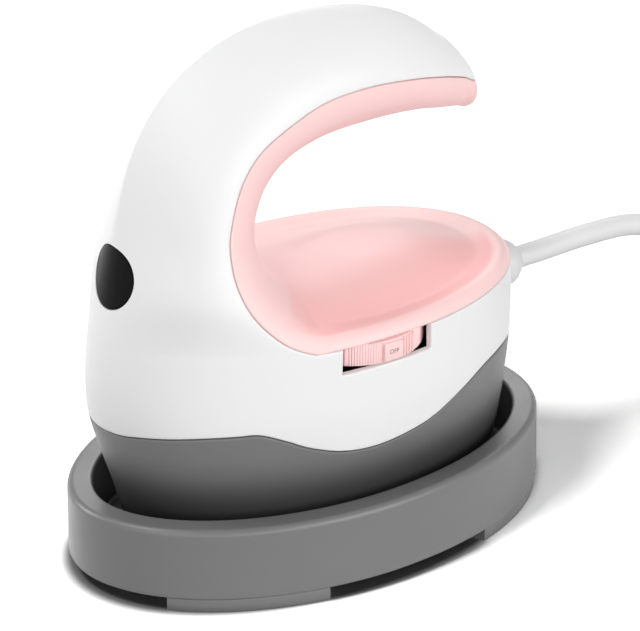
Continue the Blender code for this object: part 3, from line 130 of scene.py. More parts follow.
# Parting line of shell and grip above the deck: length, rise and half-width shares
PARTING_SHARES = (
    (0.000, 0.000, 1.000), (-0.150, 0.000, 0.988), (-0.250, 0.000, 0.965), (-0.330, 0.002, 0.940),
    (-0.450, 0.054, 0.884), (-0.556, 0.152, 0.810), (-0.605, 0.256, 0.725), (-0.614, 0.365, 0.660),
    (-0.595, 0.453, 0.627), (-0.529, 0.580, 0.587), (-0.420, 0.667, 0.547), (-0.254, 0.725, 0.507),
    (-0.087, 0.764, 0.480), (0.131, 0.772, 0.453), (0.353, 0.751, 0.412), (0.520, 0.721, 0.355),
    (0.645, 0.689, 0.295), (0.725, 0.661, 0.250), (0.800, 0.624, 0.205), (0.900, 0.567, 0.160),
)
# Wave where the grey skirt meets the white shell: shares of BODY_HALF_LENGTH and SEAM_TOP_Z
SEAM_SHARES = (
    (-1.100, 0.945), (-0.990, 0.955), (-0.940, 0.972), (-0.877, 0.983), (-0.760, 0.996), (-0.628, 1.000),
    (-0.545, 0.995), (-0.435, 0.930), (-0.350, 0.870), (-0.202, 0.800), (-0.052, 0.777), (0.093, 0.791),
    (0.249, 0.832), (0.419, 0.925), (0.551, 0.990), (0.660, 1.010), (0.753, 1.010), (0.860, 0.985),
    (1.000, 0.920), (1.150, 0.880),
)
REAR_PIVOT_SHARE = 0.925
HAND_PIVOT_SHARE = 0.320
FIRST_FAN_ANGLE = radians(178.8)
SHARED_FAN_ANGLE = radians(162.0)
LAST_FAN_ANGLE = radians(106.2)
TIP_ANGLE = radians(3.1)
HAND_SWEEP = radians(91.0)

# Rows and columns of the body's meshes
SHELL_COLUMNS = 88
SIDE_COLUMNS = 13
TAIL_COLUMNS = 41
WALL_LEVELS = 46
WINDOW_LEVEL = 30           # the row of the lower wall at the window's sill
NOSE_SECTIONS = 42
HANDLE_SECTIONS = 100
HAND_SECTIONS = 60
JOINING_SECTIONS = 8
GRIP_COLUMNS = 75
DECK_SPOKES = 110
TIP_ROWS = 16
SKIRT_COLUMNS = 220

# Window and selector
WINDOW_NOSE_X = -13.3 * MM
WINDOW_TAIL_X = 13.9 * MM
WINDOW_Z = DECK_Z - 7.1 * MM
WHEEL_RADIUS = 19.2 * MM
WHEEL_BORE = 2.3 * MM
WHEEL_EDGE = 0.18 * MM
WHEEL_RIBS = 170
WHEEL_RIB_DEPTH = 0.20 * MM
RIB_POINTS = 6.0
BOLD_RIBS = 4
BOLD_RIB_START = 0.8        # of a step, past the pad's side
BOLD_RIB_STEP = 1.15 * MM
BOLD_RIB_WIDTH = 0.62 * MM
BOLD_RIB_DEPTH = 2.0 * MM
BOLD_RIB_PROUD = 0.35 * MM
BOLD_RIB_SHORTER = 0.5 * MM
BOLD_RIB_EDGE = 0.15 * MM
PAD_WIDTH = 5.8 * MM
PAD_HEIGHT = 5.0 * MM
PAD_DEPTH = 3.4 * MM
PAD_PROUD = 0.75 * MM
PAD_EDGE = 0.3 * MM
PAD_STEP = radians(60.0)
MARKS = (("OFF", 1.7 * MM), ("1", 2.6 * MM), ("2", 2.6 * MM), ("3", 2.6 * MM))
MARK_THICKNESS = 0.015 * MM
MARK_PROUD = 0.012 * MM

# Heights between which painted shade darkens the skirt downward, toward the tray
SKIRT_LIGHT_Z = 42.0 * MM
SKIRT_DARK_Z = 22.0 * MM

# Where painted shade deepens the pink on the deck: toward the near side, from the nose, by height, and in
# from the rim
PAINTED_SHADE_SIDE = 10.0 * MM
PAINTED_SHADE_NOSE_X = -30.0 * MM
PAINTED_SHADE_NOSE_BLEND = 18.0 * MM
PAINTED_SHADE_TOP_BLEND = 1.0 * MM
PAINTED_SHADE_RIM = 2.8 * MM
PAINTED_SHADE_RIM_BLEND = 0.9 * MM
PAINTED_SHADE_FADE = 5.0 * MM
PAINTED_SHADE_FADE_BLEND = 26.0 * MM

# Lens
LENS_Z = DECK_Z + 18.4 * MM
LENS_RADIUS = 8.5 * MM
LENS_SHARES = (1.02, 0.945)     # of the radius, across and up
LENS_THICKNESS = 1.5 * MM
LENS_EDGE = 0.3 * MM
LENS_SIDES = 96
LENS_FIT_REACH = 13.0 * MM      # round the lens, where its curve is taken from the nose

# Stand
STAND_HALF_LENGTH = 70.0 * MM
STAND_HALF_WIDTH = 44.0 * MM
STAND_RIM_WIDTH = 6.9 * MM
STAND_OUTER_EDGE = 1.8 * MM
STAND_INNER_EDGE = 0.9 * MM
STAND_FLARE = 1.4 * MM
TRAY_FLOOR = 3.0 * MM
TRAY_BASE_EDGE = 0.35 * MM
TRAY_FILLET = 0.9 * MM
TRAY_COLUMNS = 240
REST_PAD_EDGE = 0.5 * MM
FOOT_WIDTH = 8.0 * MM
FOOT_EDGE = 0.25 * MM
FOOT_STEPS = 40
FOOT_INSET = 0.6 * MM
FOOT_SPAN_SHARES = ((-0.845, -0.305), (0.43, 0.95))

# Cord: the route and the coil of the part's source
CORD_RADIUS = 3.1 * MM
RELIEF_Z = DECK_Z - 10.3 * MM
CORD_SIDES = 20
CORD_SPACING = 1.6 * MM
RELIEF_RADIUS = 6.7 * MM
RELIEF_NECK = 0.62 * RELIEF_RADIUS
RELIEF_FLANGE = 2.0 * MM
RELIEF_FLANGE_RADIUS = 7.5 * MM
RELIEF_WALL_X = 61.1 * MM       # the shell's outer face, which the dome stands on
RELIEF_BEND = radians(62.0)
CORD_ROUTE = (
    (0.0800, 0.0000, 0.0572), (0.0950, 0.0000, 0.0576), (0.1130, -0.0005, 0.0564),
    (0.1275, -0.0075, 0.0508), (0.1395, -0.0190, 0.0405), (0.1500, -0.0305, 0.0275),
    (0.1600, -0.0400, 0.0148), (0.1700, -0.0478, 0.0062),
)
TAIL_ROUTE = (
    (0.2150, -0.0472), (0.2300, -0.0440), (0.2430, -0.0370), (0.2530, -0.0260), (0.2582, -0.0140),
    (0.2590, -0.0050),
)
COIL_CENTRE_X = 195.0 * MM
COIL_OUTER_RADIUS = 48.0 * MM
COIL_STEP = 2.0 * CORD_RADIUS + 0.7 * MM
COIL_TURNS = 7.0
CORD_REST_Z = CORD_RADIUS + 0.05 * MM

# Plug: shares of its length, width and height from the cord to its face, and its blades
PLUG_SHARES = (
    (0.0, 0.335, 0.41), (0.14, 0.375, 0.46), (0.20, 0.43, 0.53), (0.28, 0.72, 0.80), (0.36, 0.92, 0.95),
    (0.46, 1.0, 1.0), (0.62, 0.985, 0.97), (0.80, 1.0, 1.0), (0.95, 1.0, 1.0), (0.99, 0.97, 0.95),
    (1.0, 0.90, 0.86),
)
PLUG_POWER = 0.62
PLUG_SIDES = 64
BLADE_ROOT = 0.5 * MM
BLADE_CORNER = 1.6 * MM
BLADE_EDGE = 0.18 * MM
BLADE_HOLE = 1.5 * MM
BLADE_HOLE_Y = 4.4 * MM         # from the blade's end

# Camera, fitted to the photograph
AZIMUTH = radians(34.4)
ELEVATION = radians(25.95)
CAMERA_DISTANCE = 0.8
CAMERA_TARGET = Vector((0.0, 0.0, 0.060))
CAMERA_LENS = 171.0
CAMERA_SENSOR = 36.0
CAMERA_SHIFT = (0.0228, -0.0070)

# Floor, world and lamps
FLOOR_SIZE = 3.0
FLOOR_TONE = 0.80               # to the light
FLOOR_SEEN_TONE = 5.2           # to the camera, near the object
FLOOR_FAR_TONE = 18.0           # to the camera, far from it
FLOOR_NEAR = 0.12
FLOOR_FAR = 1.6
FLOOR_PAINTED_SHADOW_TONE = 0.5        # to the camera, under the stand: a painted shadow
FLOOR_PAINTED_SHADOW_SHARES = (0.98, 1.06)
WORLD_LIGHT = 0.07
# Name, place, target, size and power of each lamp
LAMPS = (
    ("key", (-1.02, 0.12, 2.07), (0.0, 0.0, 0.03), 0.56, 11.0),
    ("rim", (-0.70, 0.75, 0.55), (0.0, 0.0, 0.06), 0.60, 6.5),
    ("fill", (0.35, -1.05, 0.45), (0.0, 0.0, 0.05), 0.90, 9.0),
    ("side", (-0.90, -0.60, 0.50), (0.0, 0.0, 0.05), 0.80, 2.8),
    ("front", (-0.35, -1.05, 0.12), (0.0, 0.0, 0.05), 0.80, 4.0),
    ("tail", (0.60, 0.75, 0.80), (0.0, 0.0, 0.07), 0.70, 4.2),
)


# Camera

def make_camera():
    """The photograph's view."""
    back = Vector((-sin(AZIMUTH) * cos(ELEVATION), -cos(AZIMUTH) * cos(ELEVATION),
                   sin(ELEVATION)))
    right = Vector((cos(AZIMUTH), -sin(AZIMUTH), 0.0))
    data = bpy.data.cameras.new("camera")
    data.lens = CAMERA_LENS
    data.sensor_fit = "HORIZONTAL"
    data.sensor_width = CAMERA_SENSOR
    data.shift_x, data.shift_y = CAMERA_SHIFT
    camera = new_object("camera", data)
    turn = Matrix((right, back.cross(right), back)).transposed().to_4x4()
    camera.matrix_world = Matrix.Translation(CAMERA_TARGET + back * CAMERA_DISTANCE) @ turn
    bpy.context.scene.camera = camera


# Lines and interpolation

def blend(share):
    """Smooth step of a share, held between 0 and 1."""
    share = min(max(share, 0.0), 1.0)
    return share * share * (3.0 - 2.0 * share)


def smooth_line(points, steps=24, passes=0):
    """A smooth curve through points of any dimension, its bends evened out between the points."""
    points = np.array(points, float)
    padded = np.vstack([points[:1], points, points[-1:]])
    rows = []
    for index in range(1, len(points)):
        a, b, c, d = padded[index - 1:index + 3]
        for step in range(steps):
            t = step / steps
            rows.append(0.5 * (2.0 * b + (c - a) * t + (2.0 * a - 5.0 * b + 4.0 * c - d) * t * t
                               + (3.0 * b - a - 3.0 * c + d) * t * t * t))
    line = np.array(rows + [points[-1]])
    reach = steps // 4
    for _ in range(passes):
        total = np.zeros_like(line)
        for shift in range(-reach, reach + 1):
            total += line[np.clip(np.arange(len(line)) + shift, 0, len(line) - 1)]
        total /= 2 * reach + 1
        line[reach:-reach] = total[reach:-reach]
    return line


def above_deck(table):
    """A side-view table in metres, its heights measured from the deck."""
    sizes = np.array((BODY_HALF_LENGTH, HANDLE_RISE, BODY_HALF_WIDTH))[:len(table[0])]
    points = np.array(table) * sizes
    points[:, 1] += DECK_Z
    return points


OUTER_LINE = smooth_line(above_deck(OUTER_SHARES), passes=3)
HAND_LINE = smooth_line(above_deck(HAND_SPACE_SHARES), passes=3)
PARTING_LINE = smooth_line(above_deck(PARTING_SHARES))
SEAM_LINE = smooth_line(np.array(SEAM_SHARES) * (BODY_HALF_LENGTH, SEAM_TOP_Z))
PLAN_LINE = smooth_line(np.array(PLAN_SHARES) * (DECK_Z, BODY_HALF_LENGTH, BODY_HALF_LENGTH, BODY_HALF_WIDTH),
                        passes=3)
RIDGE_LINE = smooth_line(np.array(RIDGE_SHARES) * (pi / 180.0, 1.0))
DECK_TAIL = PLAN_LINE[-1][2]
REAR_PIVOT = np.array((REAR_PIVOT_SHARE * BODY_HALF_LENGTH, DECK_Z))
HAND_PIVOT = np.array((0.0, DECK_Z + HAND_PIVOT_SHARE * HANDLE_RISE))
NOSE_TABLE = OUTER_LINE[:int(np.argmax(OUTER_LINE[:, 1])) + 1]
CROWN = HAND_SPACE_SHARES[2][1] * HANDLE_RISE


def nose_reach(z):
    """How far the nose reaches at a height."""
    if z <= DECK_Z:
        return np.interp(z, PLAN_LINE[:, 0], PLAN_LINE[:, 1])
    return -np.interp(z, NOSE_TABLE[:, 1], NOSE_TABLE[:, 0])


def seam_height(x):
    """Height of the wave line at a place along the body."""
    return np.interp(x, SEAM_LINE[:, 0], SEAM_LINE[:, 1])


def rounded(share, power):
    """Superellipse: the height share at a length share."""
    return max(1.0 - min(abs(share), 1.0) ** power, 0.0) ** (1.0 / power)


def end_power(share):
    """Power of the plan's roundness toward the nose or the tail."""
    return NOSE_POWER_SHARE if share < 0.0 else TAIL_POWER_SHARE


def signed_power(value, power):
    """A power that keeps the sign."""
    return copysign(abs(value) ** power, value)


def quarter(count):
    """Even turns from 0 to a right angle."""
    return np.linspace(0.0, pi / 2.0, count)


def turns_round(count):
    """Even turns once round."""
    return [2.0 * pi * index / count for index in range(count)]


def ray_hit(line, pivot, angle):
    """Where a ray in the side view meets a line: its distance, and the line's third value there, if any."""
    across, up = cos(angle), sin(angle)
    side = (line[:, 0] - pivot[0]) * up - (line[:, 1] - pivot[1]) * across
    ahead = (line[:, 0] - pivot[0]) * across + (line[:, 1] - pivot[1]) * up
    for index in np.nonzero(side[:-1] * side[1:] <= 0.0)[0]:
        share = side[index] / (side[index] - side[index + 1]) if side[index] != side[index + 1] else 0.0
        distance = ahead[index] + (ahead[index + 1] - ahead[index]) * share
        if distance > 0.0:
            return distance, *(line[index, 2:] + (line[index + 1, 2:] - line[index, 2:]) * share)
    raise ValueError("the ray misses the line")


def level_point(side, share, z):
    """A point on the lower body: share -1 is the nose and 1 the tail, side is -1 or 1."""
    width = np.interp(z, PLAN_LINE[:, 0], PLAN_LINE[:, 3])
    reach = nose_reach(z) if share < 0.0 else np.interp(z, PLAN_LINE[:, 0], PLAN_LINE[:, 2])
    return np.array((share * reach, side * width * rounded(share, end_power(share)), z))


def settle(side, share, z, height_at):
    """A height that goes by the wave line's height at the same place, found in a few rounds."""
    for _ in range(4):
        z = height_at(seam_height(level_point(side, share, z)[0]))
    return z


def fan_point(angle, distance, y):
    """A point on a plane of the rear fan."""
    x, z = REAR_PIVOT + np.array((cos(angle), sin(angle))) * distance
    return np.array((x, y, z))


def half_turns(reach, count):
    """Turns from one edge of a half section to the other, close together at both edges."""
    first = [asin(min((GROOVE + step) / reach, 0.9)) for step in EDGE_STEPS]
    middle = np.linspace(first[-1], pi - first[-1], count + 2)[1:-1]
    return np.array(first + list(middle) + [pi - turn for turn in reversed(first)])


# Meshes

def paint(item, material):
    """Gives a mesh object one finish."""
    item.data.materials.clear()
    item.data.materials.append(material)


def new_object(name, data, material=None):
    """An object in the scene."""
    item = bpy.data.objects.new(name, data)
    bpy.context.scene.collection.objects.link(item)
    if material is not None:
        paint(item, material)
    return item


def smooth_shade(mesh, degrees=SMOOTH_ANGLE):
    """Smooth shading, but for edges that are sharper than an angle."""
    mesh.shade_smooth()
    mesh.set_sharp_from_angle(angle=radians(degrees))
    return mesh


def welded(name, points, faces):
    """A new mesh, and its points and faces in the making with loose ends joined."""
    mesh = bpy.data.meshes.new(name)
    mesh.from_pydata([tuple(point) for point in points], [], faces)
    builder = bmesh.new()
    builder.from_mesh(mesh)
    bmesh.ops.remove_doubles(builder, verts=builder.verts, dist=WELD)
    bmesh.ops.dissolve_degenerate(builder, edges=builder.edges, dist=WELD / 2.0)
    return mesh, builder


def outward(mesh, builder):
    """Turns the faces outward and writes them to the mesh."""
    bmesh.ops.recalc_face_normals(builder, faces=builder.faces)
    builder.to_mesh(mesh)
    builder.free()
    return mesh


def mesh_from(name, points, faces, degrees=SMOOTH_ANGLE):
    """A mesh from points and faces, its loose ends joined and its faces pointing out."""
    return smooth_shade(outward(*welded(name, points, faces)), degrees)


def vertex_normals(points, faces):
    """Area-weighted normals of a surface's points."""
    normals = np.zeros_like(points)
    for face in map(list, faces):
        corners = points[face]
        normals[face] += np.cross(corners[2] - corners[0], corners[-1] - corners[1])
    return normals / np.maximum(np.linalg.norm(normals, axis=1), 1e-15)[:, None]


def edge_insets(points, free, edge):
    """How far each point lies inside the rounding of the free edges."""
    neighbours = {}
    for start, end in free:
        neighbours.setdefault(start, []).append(end)
        neighbours.setdefault(end, []).append(start)
    tree = KDTree(len(neighbours))
    for index in neighbours:
        tree.insert(points[index], index)
    tree.balance()
    insets = np.zeros((len(points), 1))
    for index, point in enumerate(points):
        if index in neighbours:
            insets[index] = edge
            continue
        _, nearest, distance = tree.find(point)
        if distance > edge * 6.0:
            continue
        for other in neighbours[nearest]:
            along = points[other] - points[nearest]
            share = np.dot(point - points[nearest], along) / max(np.dot(along, along), 1e-18)
            foot = points[nearest] + along * min(max(share, 0.0), 1.0)
            distance = min(distance, np.linalg.norm(point - foot))
        if distance < edge:
            insets[index] = edge - sqrt(edge * edge - (edge - distance) ** 2)
    return insets


def walled_mesh(name, points, faces, wall, edge=EDGE):
    """A closed shell inside an open surface, with its free edges rounded. The faces point out."""
    mesh, builder = welded(name, points, faces)
    builder.verts.ensure_lookup_table()
    builder.verts.index_update()
    points = np.array([tuple(vertex.co) for vertex in builder.verts])
    faces = [tuple(vertex.index for vertex in face.verts) for face in builder.faces]
    loops = [item.link_loops[0] for item in builder.edges if len(item.link_faces) == 1]
    free = [(loop.vert.index, loop.link_loop_next.vert.index) for loop in loops]
    builder.free()
    bpy.data.meshes.remove(mesh)
    normals = vertex_normals(points, faces)
    count = len(points)
    outer = points - normals * edge_insets(points, free, edge)
    inner = points - normals * wall
    everything = faces + [tuple(index + count for index in reversed(face)) for face in faces]
    everything += [(end, start, start + count, end + count) for start, end in free]
    return mesh_from(name, np.vstack([outer, inner]), everything)


def add_row(points, rows, row, closed=False):
    """Adds a row's points, and the row of their numbers."""
    numbers = list(range(len(points), len(points) + len(row)))
    points.extend(row)
    rows.append(numbers + numbers[:1] if closed else numbers)


def ring_rows(loops):
    """Points of closed rows, and the rows of their numbers."""
    points, rows = [], []
    for loop in loops:
        add_row(points, rows, loop, closed=True)
    return points, rows


def flipped(rows):
    """Rows that run the other way, which turns their faces round."""
    return [list(reversed(row)) for row in rows]


def grid_faces(rows, keep=None):
    """Quads between rows of point numbers."""
    faces = []
    for level, (lower, upper) in enumerate(zip(rows, rows[1:])):
        for index in range(len(lower) - 1):
            if keep is None or keep(level, index):
                faces.append((lower[index], upper[index], upper[index + 1], lower[index + 1]))
    return faces


def capped_faces(rows):
    """Quads between closed rows, and a face at each end."""
    return grid_faces(rows) + [tuple(rows[0][:-1]), tuple(rows[-1][:-1])]


def applied(item, keep=False):
    """The mesh of an object with its modifiers done. The object keeps it or goes."""
    bpy.context.view_layer.update()
    mesh = bpy.data.meshes.new_from_object(item.evaluated_get(bpy.context.evaluated_depsgraph_get()))
    if keep:
        item.modifiers.clear()
        item.data = mesh
    else:
        bpy.data.objects.remove(item, do_unlink=True)
    return mesh


def lathe_mesh(name, profile, centre, axis, sides=64):
    """A solid turned about an axis: the profile has (distance along, radius) pairs, first to last."""
    row = [(profile[0][0], 0.0), *profile, (profile[-1][0], 0.0)]
    points = [(radius, 0.0, along) for along, radius in reversed(row)]
    mesh = bpy.data.meshes.new(name)
    mesh.from_pydata(points, [(index, index + 1) for index in range(len(points) - 1)], [])
    item = new_object(name, mesh)
    turning = item.modifiers.new("turn", "SCREW")
    turning.steps = sides
    turning.render_steps = sides
    turning.use_merge_vertices = True
    turning.merge_threshold = LATHE_WELD
    mesh = applied(item)
    turn = Vector(axis).to_track_quat("Z", "Y").to_matrix().to_4x4()
    mesh.transform(Matrix.Translation(centre) @ turn)
    return smooth_shade(mesh)


def bar(name, start, end, radius, sides=64):
    """A round bar between two points, as an object."""
    way = Vector(end) - Vector(start)
    mesh = lathe_mesh(name, [(0.0, radius), (way.length, radius)], Vector(start), way, sides)
    return new_object(name, mesh)


def corner(start, end, count, level_first):
    """A quarter round from one point to another, which sets off along the first axis or the second."""
    points = []
    for turn in quarter(count):
        shares = (sin(turn), 1.0 - cos(turn)) if level_first else (1.0 - cos(turn), sin(turn))
        points.append(tuple(a + (b - a) * share for a, b, share in zip(start, end, shares)))
    return points


def cut(item, cutter):
    """Cuts a piece with a closed mesh object, which is then removed."""
    step = item.modifiers.new("cut", "BOOLEAN")
    step.solver = "EXACT"
    step.object = cutter
    smooth_shade(applied(item, keep=True))
    bpy.data.objects.remove(cutter, do_unlink=True)


def ease_edges(item, width, degrees):
    """Eases a piece's edges that are sharper than an angle."""
    easing = item.modifiers.new("edge", "BEVEL")
    easing.width = width
    easing.segments = 2
    easing.limit_method = "ANGLE"
    easing.angle_limit = radians(degrees)
    applied(item, keep=True)


# Nodes and finishes

def feed(tree, node, inputs):
    """Fills a node's inputs: a socket is linked, a number or colour is written."""
    for key, value in inputs.items():
        if isinstance(value, bpy.types.NodeSocket):
            tree.links.new(value, node.inputs[key])
        elif value is not None:
            node.inputs[key].default_value = value


def add_node(tree, kind, inputs=None, **settings):
    """A new node's outputs, its settings made and its inputs filled."""
    node = tree.nodes.new(kind)
    for name, value in settings.items():
        setattr(node, name, value)
    feed(tree, node, inputs or {})
    return node.outputs


def add_sockets(tree, way, kinds):
    """Gives a node group its inputs or outputs."""
    for name, kind in kinds.items():
        tree.interface.new_socket(name, in_out=way, socket_type=f"NodeSocket{kind}")


def mapped(tree, value, start, end, low, high, course="LINEAR"):
    """A value mapped from one range to another, whose ends are numbers or sockets."""
    ends = {"Value": value, "From Min": start, "From Max": end, "To Min": low, "To Max": high}
    return add_node(tree, "ShaderNodeMapRange", ends, interpolation_type=course)["Result"]


def mixed(tree, share, first, second):
    """A colour mixed from two."""
    inputs = {"Factor": share, "A": first, "B": second}
    return add_node(tree, "ShaderNodeMix", inputs, data_type="RGBA")["Result"]


def grain_group():
    """Fine grain and soft mottle of a moulded surface, from object coordinates."""
    tree = bpy.data.node_groups.new("moulded_grain", "ShaderNodeTree")
    add_sockets(tree, "INPUT", {"Grain Scale": "Float", "Mottle Scale": "Float"})
    add_sockets(tree, "OUTPUT", {"Grain": "Float", "Mottle": "Float"})
    entry = add_node(tree, "NodeGroupInput")
    place = add_node(tree, "ShaderNodeTexCoord")["Object"]
    grain = add_node(tree, "ShaderNodeTexNoise", {
        "Vector": place, "Scale": entry["Grain Scale"], "Detail": 3.0, "Roughness": 0.62})
    mottle = add_node(tree, "ShaderNodeTexNoise", {
        "Vector": place, "Scale": entry["Mottle Scale"], "Detail": 4.0, "Roughness": 0.5, "Distortion": 0.4})
    spread = mapped(tree, mottle["Fac"], 0.2, 0.8, 0.0, 1.0, "SMOOTHSTEP")
    add_node(tree, "NodeGroupOutput", {"Grain": grain["Fac"], "Mottle": spread})
    return tree


GRAIN = grain_group()
FINISHES = {}


def finish(name, color, shade, roughness, spread=0.03, grain=900.0, mottle=60.0, bump=0.01, metallic=0.0,
           specular=0.5, painted_shade_color=None):
    """A finish: two close colours, mottled roughness, a fine grain, and, if given, a darker colour for
    painted shade.
    """
    material = bpy.data.materials.new(name)
    material.use_nodes = True
    tree = material.node_tree
    scales = {"Grain Scale": grain, "Mottle Scale": mottle}
    surface = add_node(tree, "ShaderNodeGroup", scales, node_tree=GRAIN)
    tone = mixed(tree, surface["Mottle"], (*color, 1.0), (*shade, 1.0))
    # Painted shade: the colour darkens toward the given darker colour by the share stored on each point.
    if painted_shade_color is not None:
        depth = add_node(tree, "ShaderNodeAttribute", attribute_name="deep_tone")["Fac"]
        tone = mixed(tree, depth, tone, (*painted_shade_color, 1.0))
    relief = add_node(tree, "ShaderNodeBump", {
        "Height": surface["Grain"], "Strength": 1.0, "Distance": bump * MM})
    feed(tree, tree.nodes["Principled BSDF"], {
        "Base Color": tone, "Normal": relief["Normal"], "Metallic": metallic, "Specular IOR Level": specular,
        "Roughness": mapped(tree, surface["Mottle"], 0.0, 1.0, roughness - spread, roughness + spread)})
    FINISHES[name] = material


def store_painted_shade(mesh, painted_shade_at):
    """Stores on each point how much painted shade it gets, from 0 to 1."""
    layer = mesh.attributes.new("deep_tone", "FLOAT", "POINT")
    layer.data.foreach_set("value", [painted_shade_at(vertex.co) for vertex in mesh.vertices])
    return mesh


def make_finishes():
    """Every finish of the object, by the record's material slots."""
    finish("white_shell", (0.875, 0.875, 0.875), (0.868, 0.868, 0.869), 0.42, 0.008, bump=0.003,
           specular=0.35)
    # The pink's darker colour is painted shade on the deck's near side.
    finish("pink_grip", (0.985, 0.690, 0.680), (0.980, 0.680, 0.670), 0.46, 0.015, bump=0.006, specular=0.35,
           painted_shade_color=(0.970, 0.520, 0.510))
    # The skirt's darker colour is painted shade toward its foot.
    finish("grey_skirt", (0.139, 0.139, 0.141), (0.133, 0.133, 0.135), 0.44, bump=0.012,
           painted_shade_color=(0.034, 0.034, 0.035))
    finish("grey_stand", (0.153, 0.153, 0.155), (0.147, 0.147, 0.149), 0.36, bump=0.018)
    finish("grey_rubber", (0.120, 0.120, 0.121), (0.105, 0.105, 0.106), 0.75, bump=0.03)
    finish("black_lens", (0.003, 0.003, 0.0035), (0.004, 0.004, 0.0045), 0.24, 0.02, bump=0.0005,
           specular=0.03)
    finish("lamp_resin", (0.70, 0.06, 0.04), (0.62, 0.05, 0.03), 0.18, 0.04)
    finish("cast_aluminium", (0.70, 0.70, 0.71), (0.62, 0.62, 0.63), 0.34, 0.08, grain=2600.0, bump=0.02,
           metallic=1.0)
    finish("sheet_steel", (0.60, 0.60, 0.61), (0.52, 0.52, 0.53), 0.30, 0.08, grain=2200.0, metallic=1.0)
    finish("heater_ceramic", (0.83, 0.81, 0.76), (0.74, 0.71, 0.65), 0.62, bump=0.04)
    finish("mica", (0.60, 0.53, 0.40), (0.48, 0.41, 0.30), 0.45, mottle=220.0, bump=0.02)
    finish("board_laminate", (0.035, 0.22, 0.09), (0.028, 0.18, 0.07), 0.42)
    finish("board_pillars", (0.78, 0.78, 0.76), (0.72, 0.72, 0.70), 0.48)
    finish("relay_case", (0.06, 0.16, 0.45), (0.05, 0.14, 0.40), 0.38)
    finish("dark_sleeve", (0.030, 0.030, 0.045), (0.024, 0.024, 0.036), 0.42)
    finish("fuse_glass", (0.72, 0.77, 0.77), (0.66, 0.71, 0.71), 0.10)
    finish("terminal_green", (0.04, 0.34, 0.16), (0.03, 0.29, 0.13), 0.45)
    finish("red_sleeve", (0.60, 0.04, 0.03), (0.52, 0.03, 0.02), 0.42)
    finish("switch_case", (0.08, 0.08, 0.08), (0.06, 0.06, 0.06), 0.48)
    finish("white_cord", (0.76, 0.76, 0.76), (0.75, 0.75, 0.75), 0.46, bump=0.006, specular=0.3)
    finish("plated_brass", (0.78, 0.68, 0.44), (0.70, 0.60, 0.38), 0.28, 0.06, metallic=1.0)
    finish("dark_print", (0.16, 0.12, 0.12), (0.14, 0.10, 0.10), 0.6)


make_finishes()


def place_piece(item, body, slot, *nodes):
    """Puts a finished piece on its body, in place of its nodes."""
    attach(item, body)
    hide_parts(*nodes)
    return item


def make_piece(name, mesh, body, slot, *nodes):
    """A piece with its slot's finish, on its body, in place of its nodes."""
    return place_piece(new_object(name, mesh, FINISHES[slot]), body, slot, *nodes)


# Body

def handle_measures(angle):
    """Outer, inner and parting distances of a section of the handle, and its half-width."""
    middle, width = ray_hit(PARTING_LINE, REAR_PIVOT, angle)
    return ray_hit(OUTER_LINE, REAR_PIVOT, angle)[0], ray_hit(HAND_LINE, REAR_PIVOT, angle)[0], middle, width


def section_centre(angle):
    """Middle of a section of the handle."""
    outer, inner, middle, _ = handle_measures(angle)
    return fan_point(angle, middle + ((outer - middle) - (middle - inner)) / pi, 0.0)


def tip_rows(last_row):
    """Rows from the handle's last section over its tip."""
    centre = section_centre(LAST_FAN_ANGLE)
    along = centre - section_centre(LAST_FAN_ANGLE + TIP_ANGLE)
    along /= np.linalg.norm(along)
    return [[centre + (point - centre) * cos(turn) + along * TIP_LENGTH * sin(turn) for point in last_row]
            for turn in quarter(TIP_ROWS + 1)[1:]]


def shell_row(angle, columns):
    """A row of the shell's outer half at a fan angle."""
    outer = ray_hit(OUTER_LINE, REAR_PIVOT, angle)[0]
    middle, width = ray_hit(PARTING_LINE, REAR_PIVOT, angle)
    ridge = np.interp(angle, RIDGE_LINE[:, 0], RIDGE_LINE[:, 1])
    row = []
    for turn in half_turns(outer - middle, columns):
        point = fan_point(angle, middle + (outer - middle) * sin(turn), 0.0)
        across = abs(cos(turn))
        fan = width * across * (1.0 - ridge * (1.0 - across ** RIDGE_POWER))
        mix = blend((point[2] - DECK_Z) / (HAND_PIVOT[1] - DECK_Z))
        if mix < 1.0:
            plan = BODY_HALF_WIDTH * rounded(point[0] / nose_reach(point[2]), NOSE_POWER_SHARE)
            fan = plan + (fan - plan) * mix
        point[1] = -copysign(fan, cos(turn))
        row.append(point)
    return row


def tail_columns():
    """Columns of the lower wall behind the handle, from the far side, and the window's ends, as shares."""
    start = -ray_hit(PARTING_LINE, REAR_PIVOT, FIRST_FAN_ANGLE)[0] * cos(FIRST_FAN_ANGLE) - REAR_PIVOT[0]
    reach = nose_reach(DECK_Z)
    far = [(1, share) for share in np.linspace(-start / reach, 0.0, SIDE_COLUMNS)[1:-1]]
    tail = [(1, sin(turn) ** (2.0 / TAIL_POWER_SHARE)) for turn in quarter(TAIL_COLUMNS)]
    tail += [(-1, share) for _, share in reversed(tail[:-1])]
    near = [(-1, share) for share in np.linspace(0.0, -start / reach, SIDE_COLUMNS)[1:-1]]
    window = (WINDOW_TAIL_X / DECK_TAIL, WINDOW_NOSE_X / reach)
    marks = [place + step / size for place, size in zip(window, (DECK_TAIL, -reach)) for step in EDGE_STEPS]
    kept = [column for column in far + tail + near
            if column[0] == 1 or all(abs(column[1] - mark) > 0.9 * MM / DECK_TAIL for mark in marks)]
    near_side = [column for column in kept if column[0] == -1] + [(-1, mark) for mark in marks]
    near_side.sort(key=lambda column: -column[1])
    return [column for column in kept if column[0] == 1] + near_side, window


